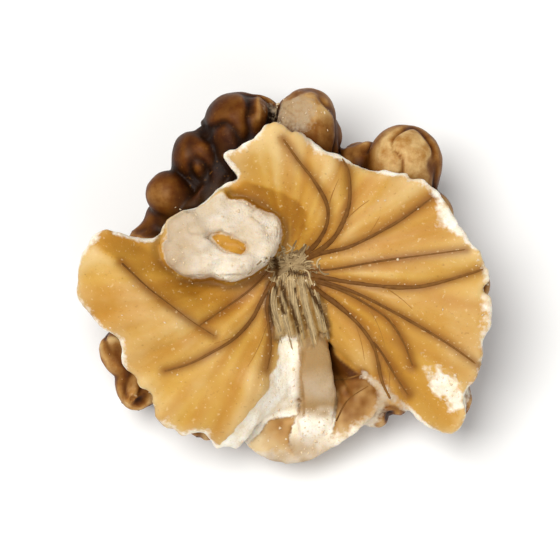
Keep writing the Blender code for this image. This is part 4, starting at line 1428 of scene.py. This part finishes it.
# Bare flesh is laid over the skin, then painted shade in the groove between the break and the blade
for share, over in ((bared, colour_of["flesh"]), (read["groove"], linear("#9a7442"))):
    surface = node(tree, "ShaderNodeMix", BLEND, _0=share, _6=surface, _7=over).outputs[2]
tree.links.new(surface, shader.inputs["Base Color"])
print(len(LAYERS), "layers of colour")

# %% Gloss: satin on the skin, matt on the flesh
gloss = node(tree, "ShaderNodeMapRange", Value=read["mottle"], To_Min=0.36, To_Max=0.58)
rough = node(tree, "ShaderNodeMix", {"data_type": "FLOAT"}, _0=bared, _2=gloss.outputs[0], _3=0.75)
sheen = node(tree, "ShaderNodeMapRange", Value=read["inner"], To_Min=0.12, To_Max=0.3)
tree.links.new(rough.outputs[0], shader.inputs["Roughness"])
tree.links.new(sheen.outputs[0], shader.inputs["Specular IOR Level"])
shader.inputs["IOR"].default_value = 1.47  # dried seed coat and walnut oil
shader.inputs["Subsurface Weight"].default_value = 0.15
shader.inputs["Subsurface Radius"].default_value = (1.0, 0.45, 0.15)
shader.inputs["Subsurface Scale"].default_value = 0.9 * MM

# %% Bump: fine creases of the skin, and the grain of the flesh
creases = node(
    tree, "ShaderNodeMath", {"operation": "MULTIPLY_ADD"}, _0=read["speckle"], _1=0.5, _2=read["grain"]
)
strength = node(tree, "ShaderNodeMix", {"data_type": "FLOAT"}, _0=bared, _2=0.28, _3=0.9)
bump = node(
    tree, "ShaderNodeBump", Strength=strength.outputs[0], Distance=0.06 * MM, Height=creases.outputs[0]
)
tree.links.new(bump.outputs[0], shader.inputs["Normal"])


# %% Veins and fibres
def shaded(name, dark, light, roughness):
    """A dry plant material between two colours, by each cord's own shade and fine noise."""
    material, tree, shader = new_material(name)
    shade = node(tree, "ShaderNodeAttribute", {"attribute_name": "shade"}).outputs["Fac"]
    spot_at = node(tree, "ShaderNodeTexCoord").outputs["Object"]
    fine = node(tree, "ShaderNodeTexNoise", Vector=spot_at, Scale=per_mm(0.5), Detail=3.0).outputs["Fac"]
    swing = node(tree, "ShaderNodeMapRange", Value=fine, **MIDDLE, To_Min=-0.1, To_Max=0.1)
    mixed = node(tree, "ShaderNodeMath", CLAMPED_SUM, _0=shade, _1=swing.outputs[0])
    colour = node(tree, "ShaderNodeMix", BLEND, _0=mixed.outputs[0], _6=linear(dark), _7=linear(light))
    bump = node(tree, "ShaderNodeBump", Strength=0.4, Distance=0.03 * MM, Height=fine)
    tree.links.new(colour.outputs[2], shader.inputs["Base Color"])
    tree.links.new(bump.outputs[0], shader.inputs["Normal"])
    shader.inputs["Roughness"].default_value = roughness
    shader.inputs["Specular IOR Level"].default_value = 0.15
    return material


vein_material = shaded("dried_vein_tannin_brown", "#4d2808", "#a87532", 0.6)
back_vein_material = shaded("dried_vein_of_the_back", "#2c1403", "#5a310d", 0.5)
fibre_material = shaded("dry_scar_fibre", "#54391a", "#c9b083", 0.8)

# %% Crumbs
crumb_material, tree, shader = new_material("crumbled_walnut_flesh")
spot_at = node(tree, "ShaderNodeTexCoord").outputs["Object"]
fine = node(tree, "ShaderNodeTexNoise", Vector=spot_at, Scale=per_mm(0.6), Detail=3.0).outputs["Fac"]
colour = node(tree, "ShaderNodeMix", BLEND, _0=fine, _6=linear("#f2e4c8"), _7=linear("#cfae7c"))
tree.links.new(colour.outputs[2], shader.inputs["Base Color"])
shader.inputs["Roughness"].default_value = 0.55

# %% The finished pieces
move(skin, in_place(drawn))
kernel = piece("kernel_flesh", skin, skin_material)
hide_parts("walnut_kernel")
piece("face_veins", face_cords.mesh("face_veins"), vein_material)
piece("back_veins", back_cords.mesh("back_veins"), back_vein_material)
piece("scar_fibres", scar_cords.mesh("scar_fibres"), fibre_material)
piece("crumbs", crumb_mesh, crumb_material)
for obj in bpy.data.objects:
    if obj.type == "MESH":
        print(obj.name, len(obj.data.polygons), "faces")
